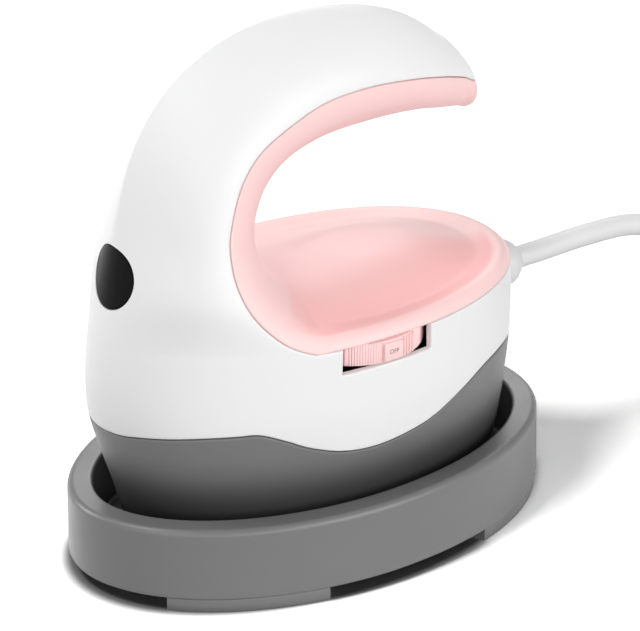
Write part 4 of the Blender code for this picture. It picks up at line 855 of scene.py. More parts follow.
def wall_columns(first):
    """Columns of the lower wall: side, share, top, and the shift that meets the handle's first row."""
    columns = []
    for point in first:
        side = -1 if point[1] < 0.0 else 1
        share = -min(-point[0] / nose_reach(point[2]), 1.0)
        columns.append((side, share, point[2], point - level_point(side, share, point[2])))
    behind, window = tail_columns()
    line = PARTING_LINE[:int(np.argmin(PARTING_LINE[:, 0])) + 1][::-1]
    for side, share in behind:
        x = share * (DECK_TAIL if share > 0.0 else nose_reach(DECK_Z))
        rise = np.interp(x, line[:, 0], line[:, 1]) if x < 0.0 else DECK_Z
        columns.append((side, share, max(min(rise, first[0][2]), DECK_Z) - GROOVE, np.zeros(3)))
    return columns, window


def wall_height(level, low, top):
    """Height of a row of the lower wall: close rows at the seam, the window's sill and the deck."""
    count, close, last = len(EDGE_STEPS), EDGE_STEPS[-1], WALL_LEVELS - 1
    if level < count:
        return low + EDGE_STEPS[level]
    if level <= WINDOW_LEVEL - count:
        share = (level - count + 1) / (WINDOW_LEVEL - 2 * count + 2)
        return low + close + (WINDOW_Z - close - (low + close)) * share
    if level <= WINDOW_LEVEL:
        return WINDOW_Z - EDGE_STEPS[WINDOW_LEVEL - level]
    if level <= last - count:
        share = (level - WINDOW_LEVEL) / (last - count + 1 - WINDOW_LEVEL)
        return WINDOW_Z + (top - close - WINDOW_Z) * share
    return top - EDGE_STEPS[last - level]


def wall_point(level, side, share, top, shift):
    """A point of the lower wall. Above the window's sill it leans toward the handle's first row."""
    z = settle(side, share, top, lambda seam: wall_height(level, seam + GROOVE, top))
    point = level_point(side, share, z)
    return point + shift * blend((z - WINDOW_Z) / (top - WINDOW_Z)) if z > WINDOW_Z else point


def make_shell():
    """White shell: outer half of the handle, nose and lower wall, with the selector's window."""
    first = shell_row(FIRST_FAN_ANGLE, SHELL_COLUMNS)
    columns, window = wall_columns(first)
    loops = [[wall_point(level, *column) for column in columns] for level in range(WALL_LEVELS)]
    points, rows = ring_rows(loops)

    def keep(level, index):
        """Whether a quad of the lower wall is there, outside the window."""
        if level < WINDOW_LEVEL or index < len(first) or index >= len(columns) - 1:
            return True
        side, share = columns[index][:2]
        next_side, next_share = columns[index + 1][:2]
        return not (window[1] < (share + next_share) / 2.0 < window[0] and side == -1 and next_side == -1)

    faces = grid_faces(rows, keep)
    upper = [rows[-1][:len(first)]]
    angles = [*np.linspace(FIRST_FAN_ANGLE, SHARED_FAN_ANGLE, NOSE_SECTIONS)[1:],
              *np.linspace(SHARED_FAN_ANGLE, LAST_FAN_ANGLE, HANDLE_SECTIONS)[1:]]
    handle = [shell_row(angle, SHELL_COLUMNS) for angle in angles]
    for row in handle + tip_rows(handle[-1]):
        add_row(points, upper, row)
    faces += grid_faces(upper)
    shell = new_object("shell", walled_mesh("shell", points, faces, SHELL_WALL), FINISHES["white_shell"])
    hole = bar("lens_hole", (-BODY_HALF_LENGTH - CUT_SPARE, 0.0, 0.0), (-BODY_HALF_LENGTH / 2.0, 0.0, 0.0),
               LENS_RADIUS, LENS_SIDES)
    spare = 1.0 + GROOVE / LENS_RADIUS
    hole.data.transform(Matrix.Diagonal((1.0, LENS_SHARES[0] * spare, LENS_SHARES[1] * spare, 1.0)))
    hole.data.transform(Matrix.Translation((0.0, 0.0, LENS_Z)))
    cut(shell, hole)
    cut(shell, bar("relief_hole", (BODY_HALF_LENGTH / 2.0, 0.0, RELIEF_Z),
                   (BODY_HALF_LENGTH + CUT_SPARE, 0.0, RELIEF_Z), RELIEF_NECK + GAP))
    paint(shell, FINISHES["white_shell"])
    place_piece(shell, "iron", "white_shell", "outer_shell")


def deck_height(x, y):
    """Height of the deck above the parting line: rim, trough and crown."""
    along = (abs(x) / DECK_TAIL) ** TAIL_POWER_SHARE
    out = (along + (abs(y) / BODY_HALF_WIDTH) ** TAIL_POWER_SHARE) ** (1.0 / TAIL_POWER_SHARE)
    lean = along / max(out ** TAIL_POWER_SHARE, 1e-9)
    inset = max(1.0 - out, 0.0) * (BODY_HALF_WIDTH + (DECK_TAIL - BODY_HALF_WIDTH) * lean)
    if inset < DECK_RIM_WIDTH:
        return DECK_RIM_HEIGHT * sqrt(max(1.0 - (1.0 - inset / DECK_RIM_WIDTH) ** 2, 0.0))
    if inset < DECK_TROUGH_INSET:
        share = blend((inset - DECK_RIM_WIDTH) / (DECK_TROUGH_INSET - DECK_RIM_WIDTH))
        return DECK_RIM_HEIGHT + (DECK_TROUGH_HEIGHT - DECK_RIM_HEIGHT) * share
    share = (inset - DECK_TROUGH_INSET) / (DECK_CROWN_INSET - DECK_TROUGH_INSET)
    share = sin(min(share, 1.0) * pi / 2.0) ** 1.3
    return DECK_TROUGH_HEIGHT + (CROWN - DECK_TROUGH_HEIGHT) * share


def grip_section(pivot, angle, outer, width, inner, mix):
    """A section of the grip: parting point, half-width, inner point and share of roundness."""
    way = np.array((cos(angle), sin(angle)))
    return pivot + way * outer, width, pivot + way * inner, mix


def row_between(line, first, last, share):
    """A line's row, part of the way between its rows nearest to two points."""
    start, end = (np.argmin(np.linalg.norm(line[:, :2] - point, axis=1)) for point in (first, last))
    place = start + (end - start) * share
    index = int(min(place, len(line) - 2))
    return line[index] + (line[index + 1] - line[index]) * (place - index)


def grip_sections():
    """The grip's sections from the deck round the hand space to the tip."""
    sections = []
    for step in range(HAND_SECTIONS):
        share = step / HAND_SECTIONS
        angle = pi * 1.5 - share * HAND_SWEEP
        middle, width = ray_hit(PARTING_LINE, HAND_PIVOT, angle)
        inner = ray_hit(HAND_LINE, HAND_PIVOT, angle)[0]
        sections.append(grip_section(HAND_PIVOT, angle, middle, width, inner, blend(share * 1.25)))
    after = []
    for angle in np.linspace(SHARED_FAN_ANGLE, LAST_FAN_ANGLE, HANDLE_SECTIONS):
        _, inner, middle, width = handle_measures(angle)
        after.append(grip_section(REAR_PIVOT, angle, middle, width, inner, 1.0))
    between = []
    for step in range(1, JOINING_SECTIONS):
        share = step / JOINING_SECTIONS
        outer = row_between(PARTING_LINE, sections[-1][0], after[0][0], share)
        inner = row_between(HAND_LINE, sections[-1][2], after[0][2], share)
        between.append((outer[:2], outer[2], inner[:2], 1.0))
    return sections + between + after


def grip_row(section, columns):
    """A row of the grip's inner half."""
    outer, width, inner, mix = section
    reach = np.linalg.norm(inner - outer)
    row = []
    for turn in half_turns(reach, columns):
        flat = deck_height(0.0, BODY_HALF_WIDTH * cos(turn)) / CROWN
        depth = flat + (sin(turn) - flat) * mix
        place = outer + (inner - outer) * depth
        row.append(np.array((place[0], -width * cos(turn), place[1])))
    return row


def deck_spoke(angle, turns):
    """Points of the deck from its rim to its middle, at an angle round the tail."""
    around = sin(angle) ** (2.0 / TAIL_POWER_SHARE)
    aside = signed_power(cos(angle), 2.0 / TAIL_POWER_SHARE)
    spoke = []
    for turn in turns:
        x = cos(turn) * DECK_TAIL * around
        y = -cos(turn) * BODY_HALF_WIDTH * aside
        spoke.append(np.array((x, y, DECK_Z + deck_height(x, y))))
    return spoke


def make_grip():
    """Pink insert: the deck, the back of the hand space and the handle's inner half."""
    sections = grip_sections()
    points, rows = [], []
    handle = [grip_row(section, GRIP_COLUMNS) for section in sections]
    for row in handle + tip_rows(handle[-1]):
        add_row(points, rows, row)
    faces = grid_faces(flipped(rows))
    half = len(rows[0]) // 2
    turns = half_turns(np.linalg.norm(sections[0][2] - sections[0][0]), GRIP_COLUMNS)[:half + 1]
    spokes = [rows[0][:half + 1]]
    for index in range(1, DECK_SPOKES):
        add_row(points, spokes, deck_spoke(pi * index / DECK_SPOKES, turns))
    spokes.append(list(reversed(rows[0][half:])))
    faces += grid_faces(flipped(reversed(spokes)))
    # Painted shade on the deck's near side, stored on the points.
    mesh = store_painted_shade(walled_mesh("grip", points, faces, GRIP_WALL), grip_painted_shade)
    make_piece("grip", mesh, "iron", "pink_grip", "grip_insert")


def grip_painted_shade(point):
    """Painted shade on the deck: the pink darkens inside the near rim and fades toward the middle."""
    reach = DECK_TAIL if point.x > 0.0 else nose_reach(DECK_Z)
    out = abs(point.x / reach) ** TAIL_POWER_SHARE + abs(point.y / BODY_HALF_WIDTH) ** TAIL_POWER_SHARE
    inset = max(1.0 - out ** (1.0 / TAIL_POWER_SHARE), 0.0) * BODY_HALF_WIDTH
    near = blend(-point.y / PAINTED_SHADE_SIDE) * blend((point.x - PAINTED_SHADE_NOSE_X) / PAINTED_SHADE_NOSE_BLEND)
    low = blend((DECK_Z + CROWN + PAINTED_SHADE_TOP_BLEND - point.z) / PAINTED_SHADE_TOP_BLEND)
    inside = blend((inset - PAINTED_SHADE_RIM) / PAINTED_SHADE_RIM_BLEND) * (1.0 - blend((inset - PAINTED_SHADE_FADE) / PAINTED_SHADE_FADE_BLEND))
    return near * low * inside


def all_round(count):
    """Sides and shares once round the body, from the near side round the nose."""
    columns = []
    for angle in turns_round(count):
        share = -signed_power(sin(angle), 2.0 / end_power(-sin(angle)))
        columns.append((-1 if cos(angle) > 0.0 else 1, share))
    return columns


def make_skirt():
    """Grey heat skirt under the wave line."""
    bottom, close = PLAN_LINE[0][0], EDGE_STEPS[-1]
    levels = [(0.0, step) for step in EDGE_STEPS]
    levels += [(share, close * (1.0 - 2.0 * share)) for share in np.linspace(0.0, 1.0, 16)[1:-1]]
    levels += [(1.0, -step) for step in reversed(EDGE_STEPS)]
    columns = all_round(SKIRT_COLUMNS)
    loops = []
    for share_up, step in levels:
        loop = []
        for side, share in columns:
            z = settle(side, share, bottom, lambda seam: bottom + (seam - GROOVE - bottom) * share_up + step)
            loop.append(level_point(side, share, z))
        loops.append(loop)
    points, rows = ring_rows(loops)
    # Painted shade: darker toward the skirt's foot, stored on the points.
    mesh = store_painted_shade(walled_mesh("skirt", points, grid_faces(rows), SHELL_WALL), skirt_painted_shade)
    make_piece("skirt", mesh, "iron", "grey_skirt", "heat_skirt")


def skirt_painted_shade(point):
    """Painted shade: the skirt darkens downward, toward the tray below it."""
    return blend((SKIRT_LIGHT_Z - point.z) / (SKIRT_LIGHT_Z - SKIRT_DARK_Z))


def nose_terms(y, z):
    """Terms of the surface fitted to the nose, from the distance across and up in millimetres."""
    return np.stack([np.ones_like(y), z, z * z, z ** 3, y * y, y * y * z, y ** 4], axis=-1)


def make_lens():
    """Round smoked window on the nose, curved like the shell round it."""
    rows = [shell_row(angle, 60) for angle in np.linspace(FIRST_FAN_ANGLE, SHARED_FAN_ANGLE, NOSE_SECTIONS)]
    samples = np.array([point for row in rows for point in row
                        if hypot(point[1], point[2] - LENS_Z) < LENS_FIT_REACH and point[0] < -0.04])
    fit = np.linalg.lstsq(nose_terms(samples[:, 1] / MM, (samples[:, 2] - LENS_Z) / MM), samples[:, 0],
                          rcond=None)[0]
    radii = [0.0, *np.linspace(0.0, LENS_RADIUS - EDGE_STEPS[-1], 14)[1:]]
    radii += [LENS_RADIUS - step for step in reversed(EDGE_STEPS[:-1])]
    loops = []
    for radius in radii:
        loop = []
        for angle in turns_round(LENS_SIDES):
            y = radius * cos(angle) * LENS_SHARES[0]
            z = radius * sin(angle) * LENS_SHARES[1]
            loop.append(np.array((nose_terms(np.array(y / MM), np.array(z / MM)) @ fit, y, LENS_Z + z)))
        loops.append(loop)
    points, rows = ring_rows(loops)
    mesh = walled_mesh("lens", points, grid_faces(flipped(rows)), LENS_THICKNESS, LENS_EDGE)
    make_piece("lens", mesh, "iron", "black_lens", "indicator_lens")


# Selector

def ribbed_wheel_tree():
    """Geometry nodes of a ribbed wheel: a circle drawn in between its ribs, filled and raised."""
    tree = bpy.data.node_groups.new("ribbed_wheel", "GeometryNodeTree")
    add_sockets(tree, "INPUT", {"Radius": "Float", "Rib Depth": "Float", "Height": "Float", "Ribs": "Int",
                                "Finish": "Material"})
    add_sockets(tree, "OUTPUT", {"Geometry": "Geometry"})
    entry = add_node(tree, "NodeGroupInput")

    def made(kind, inputs=None, **settings):
        """The first output of a geometry node."""
        return add_node(tree, f"GeometryNode{kind}", inputs, **settings)[0]

    def reckoned(operation, first, second=None):
        """The result of a math node."""
        return add_node(tree, "ShaderNodeMath", {0: first, 1: second}, operation=operation)[0]

    circle = made("CurvePrimitiveCircle", {
        "Resolution": reckoned("MULTIPLY", entry["Ribs"], RIB_POINTS), "Radius": entry["Radius"]})
    turn = reckoned("MULTIPLY", made("InputIndex"), 2.0 * pi / RIB_POINTS)
    wave = reckoned("MULTIPLY", reckoned("SUBTRACT", reckoned("COSINE", turn), 1.0), 0.5)
    drawn = reckoned("DIVIDE", reckoned("MULTIPLY", wave, entry["Rib Depth"]), entry["Radius"])
    place = add_node(tree, "ShaderNodeVectorMath", {
        0: made("InputPosition"), "Scale": reckoned("ADD", drawn, 1.0)}, operation="SCALE")[0]
    rim = made("SetPosition", {"Geometry": circle, "Position": place})
    face = made("FillCurve", {"Curve": rim}, mode="NGONS")
    raised = made("ExtrudeMesh", {
        "Mesh": face, "Offset Scale": entry["Height"], "Individual": False}, mode="FACES")
    both = tree.nodes.new("GeometryNodeJoinGeometry")
    for part in (raised, made("FlipFaces", {0: face})):
        tree.links.new(part, both.inputs[0])
    weld = made("MergeByDistance", {0: both.outputs[0], "Distance": WELD})
    real = made("RealizeInstances", {0: weld})
    painted = made("SetMaterial", {"Geometry": real, "Material": entry["Finish"]})
    add_node(tree, "NodeGroupOutput", {"Geometry": painted})
    return tree


def set_inputs(modifier, **values):
    """Sets the inputs of a geometry nodes modifier by their sockets' identifiers."""
    for item in modifier.node_group.interface.items_tree:
        key = item.name.replace(" ", "_").lower()
        if item.in_out == "INPUT" and key in values:
            modifier[item.identifier] = values[key]


def make_selector():
    """Ribbed thumbwheel with its raised marks."""
    low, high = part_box("selector_wheel")
    axle_low, axle_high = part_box("selector_axle")
    centre = Vector(((axle_low.x + axle_high.x) / 2.0, (axle_low.y + axle_high.y) / 2.0, low.z))
    height = high.z - low.z
    item = new_object("selector", bpy.data.meshes.new("selector"))
    ribs = item.modifiers.new("ribs", "NODES")
    ribs.node_group = ribbed_wheel_tree()
    set_inputs(ribs, radius=WHEEL_RADIUS, rib_depth=WHEEL_RIB_DEPTH, height=height, ribs=WHEEL_RIBS,
               finish=FINISHES["pink_grip"])
    wheel = new_object("selector_wheel_looks", applied(item))
    builder = bmesh.new()
    builder.from_mesh(wheel.data)
    outward(wheel.data, builder)
    ease_edges(wheel, WHEEL_EDGE, 60.0)
    cut(wheel, bar("bore", (0.0, 0.0, -height), (0.0, 0.0, height * 2.0), WHEEL_BORE, 48))
    builder = bmesh.new()
    builder.from_mesh(wheel.data)
    for index in range(len(MARKS)):
        angle = -pi / 2.0 - index * PAD_STEP
        add_block(builder, (PAD_DEPTH, PAD_WIDTH, PAD_HEIGHT), PAD_EDGE, PAD_PROUD, height / 2.0, angle)
        for rib in range(BOLD_RIBS):
            aside = angle + (PAD_WIDTH / 2.0 + (rib + BOLD_RIB_START) * BOLD_RIB_STEP) / WHEEL_RADIUS
            add_block(builder, (BOLD_RIB_DEPTH, BOLD_RIB_WIDTH, height - BOLD_RIB_SHORTER), BOLD_RIB_EDGE,
                      BOLD_RIB_PROUD, height / 2.0, aside)
    builder.to_mesh(wheel.data)
    builder.free()
    wheel.data.transform(Matrix.Translation(centre))
    paint(wheel, FINISHES["pink_grip"])
    for polygon in wheel.data.polygons:
        polygon.material_index = 0
    smooth_shade(wheel.data, 35.0)
    place_piece(wheel, "selector", "pink_grip", "selector_wheel")
    for index, (text, size) in enumerate(MARKS):
        make_mark(index, text, size, centre, height)


def add_block(builder, size, easing, proud, height, angle):
    """Adds an eased block to the wheel's mesh, its outer face proud of the wheel."""
    block = bmesh.new()
    bmesh.ops.create_cube(block, size=1.0)
    bmesh.ops.scale(block, vec=size, verts=block.verts)
    bmesh.ops.bevel(block, geom=block.edges[:], offset=easing, segments=3, affect="EDGES", profile=0.5)
    bmesh.ops.translate(block, vec=(WHEEL_RADIUS + proud - size[0] / 2.0, 0.0, height), verts=block.verts)
    bmesh.ops.rotate(block, cent=(0.0, 0.0, 0.0), matrix=Matrix.Rotation(angle, 3, "Z"), verts=block.verts)
    mesh = bpy.data.meshes.new("block")
    block.to_mesh(mesh)
    block.free()
    builder.from_mesh(mesh)


def make_mark(index, text, size, centre, height):
    """Printed mark on a raised pad."""
    words = bpy.data.curves.new(f"mark_{index}", "FONT")
    words.body = text
    words.size = size
    words.align_x = "CENTER"
    words.align_y = "CENTER"
    words.extrude = MARK_THICKNESS
    mesh = applied(new_object(f"mark_{index}", words))
    stand_up = Matrix.Rotation(pi / 2.0, 4, "X")
    out = Matrix.Translation((0.0, -WHEEL_RADIUS - PAD_PROUD - MARK_PROUD, height / 2.0))
    turn = Matrix.Rotation(-index * PAD_STEP, 4, "Z")
    mesh.transform(Matrix.Translation(centre) @ turn @ out @ stand_up)
    mark = new_object(f"selector_mark_{index}", mesh, FINISHES["dark_print"])
    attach(mark, "selector")


# Stand

def stand_point(side, share, inset, flare, z):
    """A point on a level outline of the stand."""
    width = STAND_HALF_WIDTH - inset + flare
    return np.array((share * (STAND_HALF_LENGTH - inset), side * width * rounded(share, end_power(share)), z))


def tray_profile(low, top):
    """Insets and heights of the tray's rings, from its base over its rim to its floor."""
    base, edge, ease, inner = TRAY_BASE_EDGE, STAND_OUTER_EDGE, STAND_INNER_EDGE, STAND_RIM_WIDTH
    floor = low + TRAY_FLOOR
    profile = corner((base, low), (0.0, low + base), 4, True)
    profile += [(0.0, low + (top - edge - low) * share) for share in np.linspace(0.1, 0.95, 12)]
    profile += corner((0.0, top - edge), (edge, top), 9, False)
    profile += [(edge + (inner - ease - edge) * share, top) for share in (0.15, 0.5, 0.85)]
    profile += corner((inner - ease, top), (inner, top - ease), 6, True)
    profile += [(inner, floor + (top - ease - floor) * share) for share in np.linspace(0.92, 0.12, 10)]
    profile += corner((inner, floor + TRAY_FILLET), (inner + TRAY_FILLET, floor), 5, False)
    return profile + [(inner + step * MM, floor) for step in (2.0, 5.0, 12.0, 20.0)]


def make_tray():
    """Tray with its rim and floor; its wall flares a little toward the table."""
    low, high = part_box("stand_tray")
    wall_top = high.z - STAND_OUTER_EDGE
    columns = all_round(TRAY_COLUMNS)
    loops = []
    for inset, z in tray_profile(low.z, high.z):
        share = min(max((wall_top - z) / (wall_top - low.z), 0.0), 1.0)
        flare = STAND_FLARE * share if inset <= TRAY_BASE_EDGE else 0.0
        loops.append([stand_point(*column, inset, flare, z) for column in columns])
    points, rows = ring_rows(loops)
    mesh = mesh_from("tray", points, capped_faces(flipped(rows)), 50.0)
    make_piece("tray", mesh, "stand", "grey_stand", "stand_tray")


def make_foot(number, side, start, end):
    """An arc of the stand's outline, standing on the table, with eased edges."""
    low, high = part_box(f"stand_foot_{number}")
    shares = [start + (end - start) * index / FOOT_STEPS for index in range(FOOT_STEPS + 1)]
    small = FOOT_EDGE * 0.3
    loops = []
    for inset, z in ((FOOT_EDGE, low.z), (small, low.z + small), (0.0, low.z + FOOT_EDGE),
                     (0.0, high.z - FOOT_EDGE), (small, high.z - small), (FOOT_EDGE, high.z)):
        outer, inner = FOOT_INSET + inset, FOOT_INSET + FOOT_WIDTH - inset
        loops.append([stand_point(side, share, outer, STAND_FLARE, z) for share in shares]
                     + [stand_point(side, share, inner, STAND_FLARE, z) for share in reversed(shares)])
    points, rows = ring_rows(loops)
    faces = grid_faces(rows)
    for row in (rows[0], rows[-1]):
        faces += [(row[index], row[index + 1], row[2 * FOOT_STEPS - index], row[2 * FOOT_STEPS + 1 - index])
                  for index in range(FOOT_STEPS)]
    foot = new_object(f"foot_{number}", mesh_from(f"foot_{number}", points, faces), FINISHES["grey_stand"])
    place_piece(foot, "stand", "grey_rubber", f"stand_foot_{number}")


def make_rest_pad(number):
    """A round rubber pad on the tray's floor, its upper edge eased."""
    low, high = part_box(f"rest_pad_{number}")
    radius, height = (high.x - low.x) / 2.0, high.z - low.z
    profile = corner((height - REST_PAD_EDGE, radius), (height, radius - REST_PAD_EDGE), 6, True)
    profile.insert(0, (0.0, radius))
    centre = Vector(((low.x + high.x) / 2.0, (low.y + high.y) / 2.0, low.z))
    make_piece(f"pad_{number}", lathe_mesh(f"pad_{number}", profile, centre, (0.0, 0.0, 1.0)), "stand",
               "grey_rubber", f"rest_pad_{number}")


def make_stand():
    """Tray, feet and rest pads."""
    make_tray()
    spans = [(side, *span) for side in (-1, 1) for span in FOOT_SPAN_SHARES]
    for number, span in enumerate(spans, 1):
        make_foot(number, *span)
    for number in range(1, 5):
        make_rest_pad(number)


# Cord

def coil_points(count=48):
    """The coil's centre line: spiral in, climb a layer, spiral out."""
    middle = COIL_TURNS / 2.0
    points = []
    for turn in np.linspace(0.0, COIL_TURNS, int(COIL_TURNS * count) + 1):
        radius = COIL_OUTER_RADIUS - COIL_STEP * (middle - hypot(turn - middle, 0.08))
        angle = 2.0 * pi * turn - pi / 2.0
        z = CORD_REST_Z + COIL_STEP * blend((turn - middle) / 0.5 + 0.5)
        points.append((COIL_CENTRE_X + radius * cos(angle), radius * sin(angle), z))
    return points


def tube_mesh(name, path, radius):
    """A round tube along close points, closed at both ends."""
    path = np.array(path)
    ways = np.gradient(path, axis=0)
    ways /= np.linalg.norm(ways, axis=1)[:, None]
    side = np.cross(ways[0], (0.0, 0.0, 1.0))
    side /= np.linalg.norm(side)
    loops = []
    for place, way in zip(path, ways):
        side = side - way * np.dot(side, way)
        side /= np.linalg.norm(side)
        up = np.cross(way, side)
        loops.append([place + (side * cos(angle) + up * sin(angle)) * radius
                      for angle in turns_round(CORD_SIDES)])
    points, rows = ring_rows(loops)
    return mesh_from(name, points, capped_faces(rows), 60.0)


def make_cord():
    """White mains cord: free stretch, coil and the run to the plug."""
    coil = coil_points()
    start = (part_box("strain_relief")[1].x - 1.0 * MM, 0.0, RELIEF_Z)
    run = 2.0 * CORD_RADIUS
    first, last = coil[0], coil[-1]
    lead = smooth_line([start, *CORD_ROUTE, (first[0] - 2.0 * run, first[1], first[2])], 12)
    straight = [(first[0] - share * 2.0 * run, first[1], first[2]) for share in (0.66, 0.33)]
    tail = smooth_line([(last[0] + run, last[1], last[2]), *((x, y, last[2]) for x, y in TAIL_ROUTE)], 12)
    path = [*map(tuple, lead), *straight, *coil, (last[0] + run / 2.0, last[1], last[2]), *map(tuple, tail)]
    path = even_path(path, CORD_SPACING)
    length = float(np.linalg.norm(np.diff(path, axis=0), axis=1).sum())
    cord = new_object("cord", tube_mesh("cord", path, CORD_RADIUS), FINISHES["white_cord"])
    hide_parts("cord_lead", "cord_coil", "cord_tail")
    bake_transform(cord)
    return cord, path, length, start


def even_path(path, spacing):
    """Points at even steps along a path, lightly smoothed."""
    path = np.array(path)
    lengths = np.concatenate([[0.0], np.cumsum(np.linalg.norm(np.diff(path, axis=0), axis=1))])
    count = int(round(lengths[-1] / spacing))
    places = np.linspace(0.0, lengths[-1], count + 1)
    even = np.stack([np.interp(places, lengths, path[:, axis]) for axis in range(3)], axis=1)
    for _ in range(3):
        even[1:-1] = even[1:-1] * 0.5 + (even[:-2] + even[2:]) * 0.25
    return even


def make_relief():
    """Strain relief: flange and neck inside, dome outside."""
    low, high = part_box("strain_relief")
    wall, reach = RELIEF_WALL_X, high.x - RELIEF_WALL_X
    flange_end = low.x + RELIEF_FLANGE
    tip = CORD_RADIUS * 1.08
    profile = [(low.x, RELIEF_FLANGE_RADIUS), (flange_end, RELIEF_FLANGE_RADIUS), (flange_end, RELIEF_NECK),
               (wall + GAP, RELIEF_NECK), (wall + GAP, RELIEF_RADIUS)]
    profile += [(wall + reach * share, RELIEF_RADIUS) for share in (0.15, 0.35)]
    for angle in np.linspace(0.0, RELIEF_BEND, 12)[1:]:
        along = 0.40 + 0.58 * 0.98 * sin(angle) / sin(RELIEF_BEND)
        fall = cos(angle * pi / 2.0 / RELIEF_BEND)
        profile.append((wall + reach * along, tip + (RELIEF_RADIUS - tip) * fall))
    profile.append((high.x, CORD_RADIUS * 1.02))
    mesh = lathe_mesh("relief", profile, (0.0, 0.0, RELIEF_Z), (1.0, 0.0, 0.0))
    return make_piece("relief", mesh, "iron", "white_cord", "strain_relief")


def make_plug():
    """Two-blade plug lying on the table."""
    low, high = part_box("plug_body")
    middle, half = (low + high) / 2.0, (high - low) / 2.0
    loops = []
    for along, width, height in smooth_line(PLUG_SHARES, 8, 1):
        loop = []
        for angle in turns_round(PLUG_SIDES):
            x = signed_power(cos(angle), PLUG_POWER) * half.x * width
            z = signed_power(sin(angle), PLUG_POWER) * half.z * height
            loop.append((middle.x + x, low.y + (high.y - low.y) * along, middle.z + z))
        loops.append(loop)
    points, rows = ring_rows(loops)
    mesh = mesh_from("plug", points, capped_faces(rows))
    return [make_piece("plug", mesh, "stand", "white_cord", "plug_body"), make_blade(1), make_blade(2)]


def make_blade(number):
    """A flat blade with a rounded end and its hole."""
    low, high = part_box(f"plug_blade_{number}")
    middle, root, round_y = (high.z + low.z) / 2.0, low.y - BLADE_ROOT, high.y - BLADE_CORNER
    outline = [(root, low.z), *corner((round_y, low.z), (high.y, low.z + BLADE_CORNER), 9, True),
               *corner((high.y, high.z - BLADE_CORNER), (round_y, high.z), 9, False), (root, high.z)]
    builder = bmesh.new()
    face = builder.faces.new([builder.verts.new((low.x, y, z)) for y, z in outline])
    out = bmesh.ops.extrude_face_region(builder, geom=[face])
    moved = [item for item in out["geom"] if isinstance(item, bmesh.types.BMVert)]
    bmesh.ops.translate(builder, vec=(high.x - low.x, 0.0, 0.0), verts=moved)
    item = new_object(f"blade_{number}", outward(bpy.data.meshes.new(f"blade_{number}"), builder))
    hole_y = high.y - BLADE_HOLE_Y
    cut(item, bar("hole", (low.x - 0.002, hole_y, middle), (high.x + 0.002, hole_y, middle), BLADE_HOLE, 32))
    ease_edges(item, BLADE_EDGE, 30.0)
    paint(item, FINISHES["plated_brass"])
    return place_piece(item, "stand", "plated_brass", f"plug_blade_{number}")


# Inside pieces keep their CAD solids and get their own finish

def dress_inside():
    """Gives each shown CAD node the finish of its material slot."""
    slots = {row["node"]: row["material_slot"] for row in frame["record"]["subparts"]}
    for name, node in NODES.items():
        if node.hide_render:
            continue
        material = FINISHES[slots[name]]
        if not node.material_slots:
            node.data.materials.append(material)
        for slot in node.material_slots:
            slot.material = material


# Floor, light and world

def camera_light(tree):
    """A mask that is 1 for what the camera sees, directly, in gloss or through glass."""
    path = add_node(tree, "ShaderNodeLightPath")
    seen = path["Is Camera Ray"]
    for kind in ("Is Glossy Ray", "Is Transmission Ray"):
        seen = add_node(tree, "ShaderNodeMath", {0: seen, 1: path[kind]}, operation="MAXIMUM")[0]
    return seen


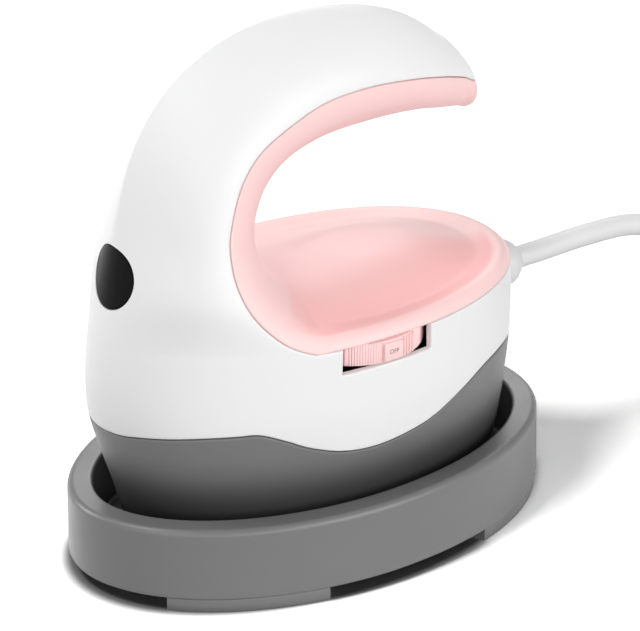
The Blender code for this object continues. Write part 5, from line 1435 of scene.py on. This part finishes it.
def make_floor():
    """Pale floor that keeps the object's shadow. To the camera it is brighter, with a painted shadow under
    the tray.
    """
    mesh = bpy.data.meshes.new("floor")
    corners = [(x * FLOOR_SIZE, y * FLOOR_SIZE, 0.0) for x, y in ((-1, -1), (1, -1), (1, 1), (-1, 1))]
    mesh.from_pydata(corners, [], [(0, 1, 2, 3)])
    material = bpy.data.materials.new("floor")
    material.use_nodes = True
    tree = material.node_tree
    place = add_node(tree, "ShaderNodeTexCoord")["Object"]
    away = add_node(tree, "ShaderNodeVectorMath", {0: place}, operation="LENGTH")["Value"]
    seen = mapped(tree, away, FLOOR_NEAR, FLOOR_FAR, FLOOR_SEEN_TONE, FLOOR_FAR_TONE)
    # Painted shadow: to the camera the floor darkens inside the stand's outline.
    stand = (STAND_HALF_LENGTH, STAND_HALF_WIDTH, 1.0)
    squeezed = add_node(tree, "ShaderNodeVectorMath", {0: place, 1: stand}, operation="DIVIDE")[0]
    under = add_node(tree, "ShaderNodeVectorMath", {0: squeezed}, operation="LENGTH")["Value"]
    seen_with_painted_shadow = mapped(tree, under, *FLOOR_PAINTED_SHADOW_SHARES, FLOOR_PAINTED_SHADOW_TONE, seen, "SMOOTHSTEP")
    feed(tree, tree.nodes["Principled BSDF"], {
        "Base Color": mapped(tree, camera_light(tree), 0.0, 1.0, FLOOR_TONE, seen_with_painted_shadow), "Roughness": 1.0,
        "Specular IOR Level": 0.0})
    floor = new_object("floor", mesh, material)
    return floor


def make_world():
    """A pale world to the camera, and a dim one to the object."""
    world = bpy.data.worlds.new("studio")
    world.use_nodes = True
    tree = world.node_tree
    strength = mapped(tree, camera_light(tree), 0.0, 1.0, WORLD_LIGHT, 1.0)
    feed(tree, tree.nodes["Background"], {"Color": (1.0, 1.0, 1.0, 1.0), "Strength": strength})
    bpy.context.scene.world = world


def make_lamps(floor):
    """Soft lamps. The key lights everything, and the others light all but the floor."""
    lit = bpy.data.collections.new("lit_by_side_lamps")
    for item in bpy.data.objects:
        if item.type == "MESH" and item is not floor:
            lit.objects.link(item)
    for name, place, target, size, power in LAMPS:
        data = bpy.data.lights.new(name, "AREA")
        data.shape = "DISK"
        data.size = size
        data.energy = power
        lamp = new_object(name, data)
        lamp.location = place
        lamp.rotation_mode = "QUATERNION"
        lamp.rotation_quaternion = (Vector(target) - Vector(place)).to_track_quat("-Z", "Y")
        if name != "key":
            lamp.light_linking.receiver_collection = lit


def make_stage():
    """Floor, world and lamps."""
    floor = make_floor()
    make_world()
    make_lamps(floor)
    bpy.context.scene.view_settings.view_transform = "Standard"


make_camera()
cord, cord_path, cord_length, cord_start = make_cord()
relief = make_relief()
plug_pieces = make_plug()
make_shell()
make_grip()
make_skirt()
make_lens()
make_selector()
make_stand()
dress_inside()
make_stage()

print("cord length", round(cord_length, 4))
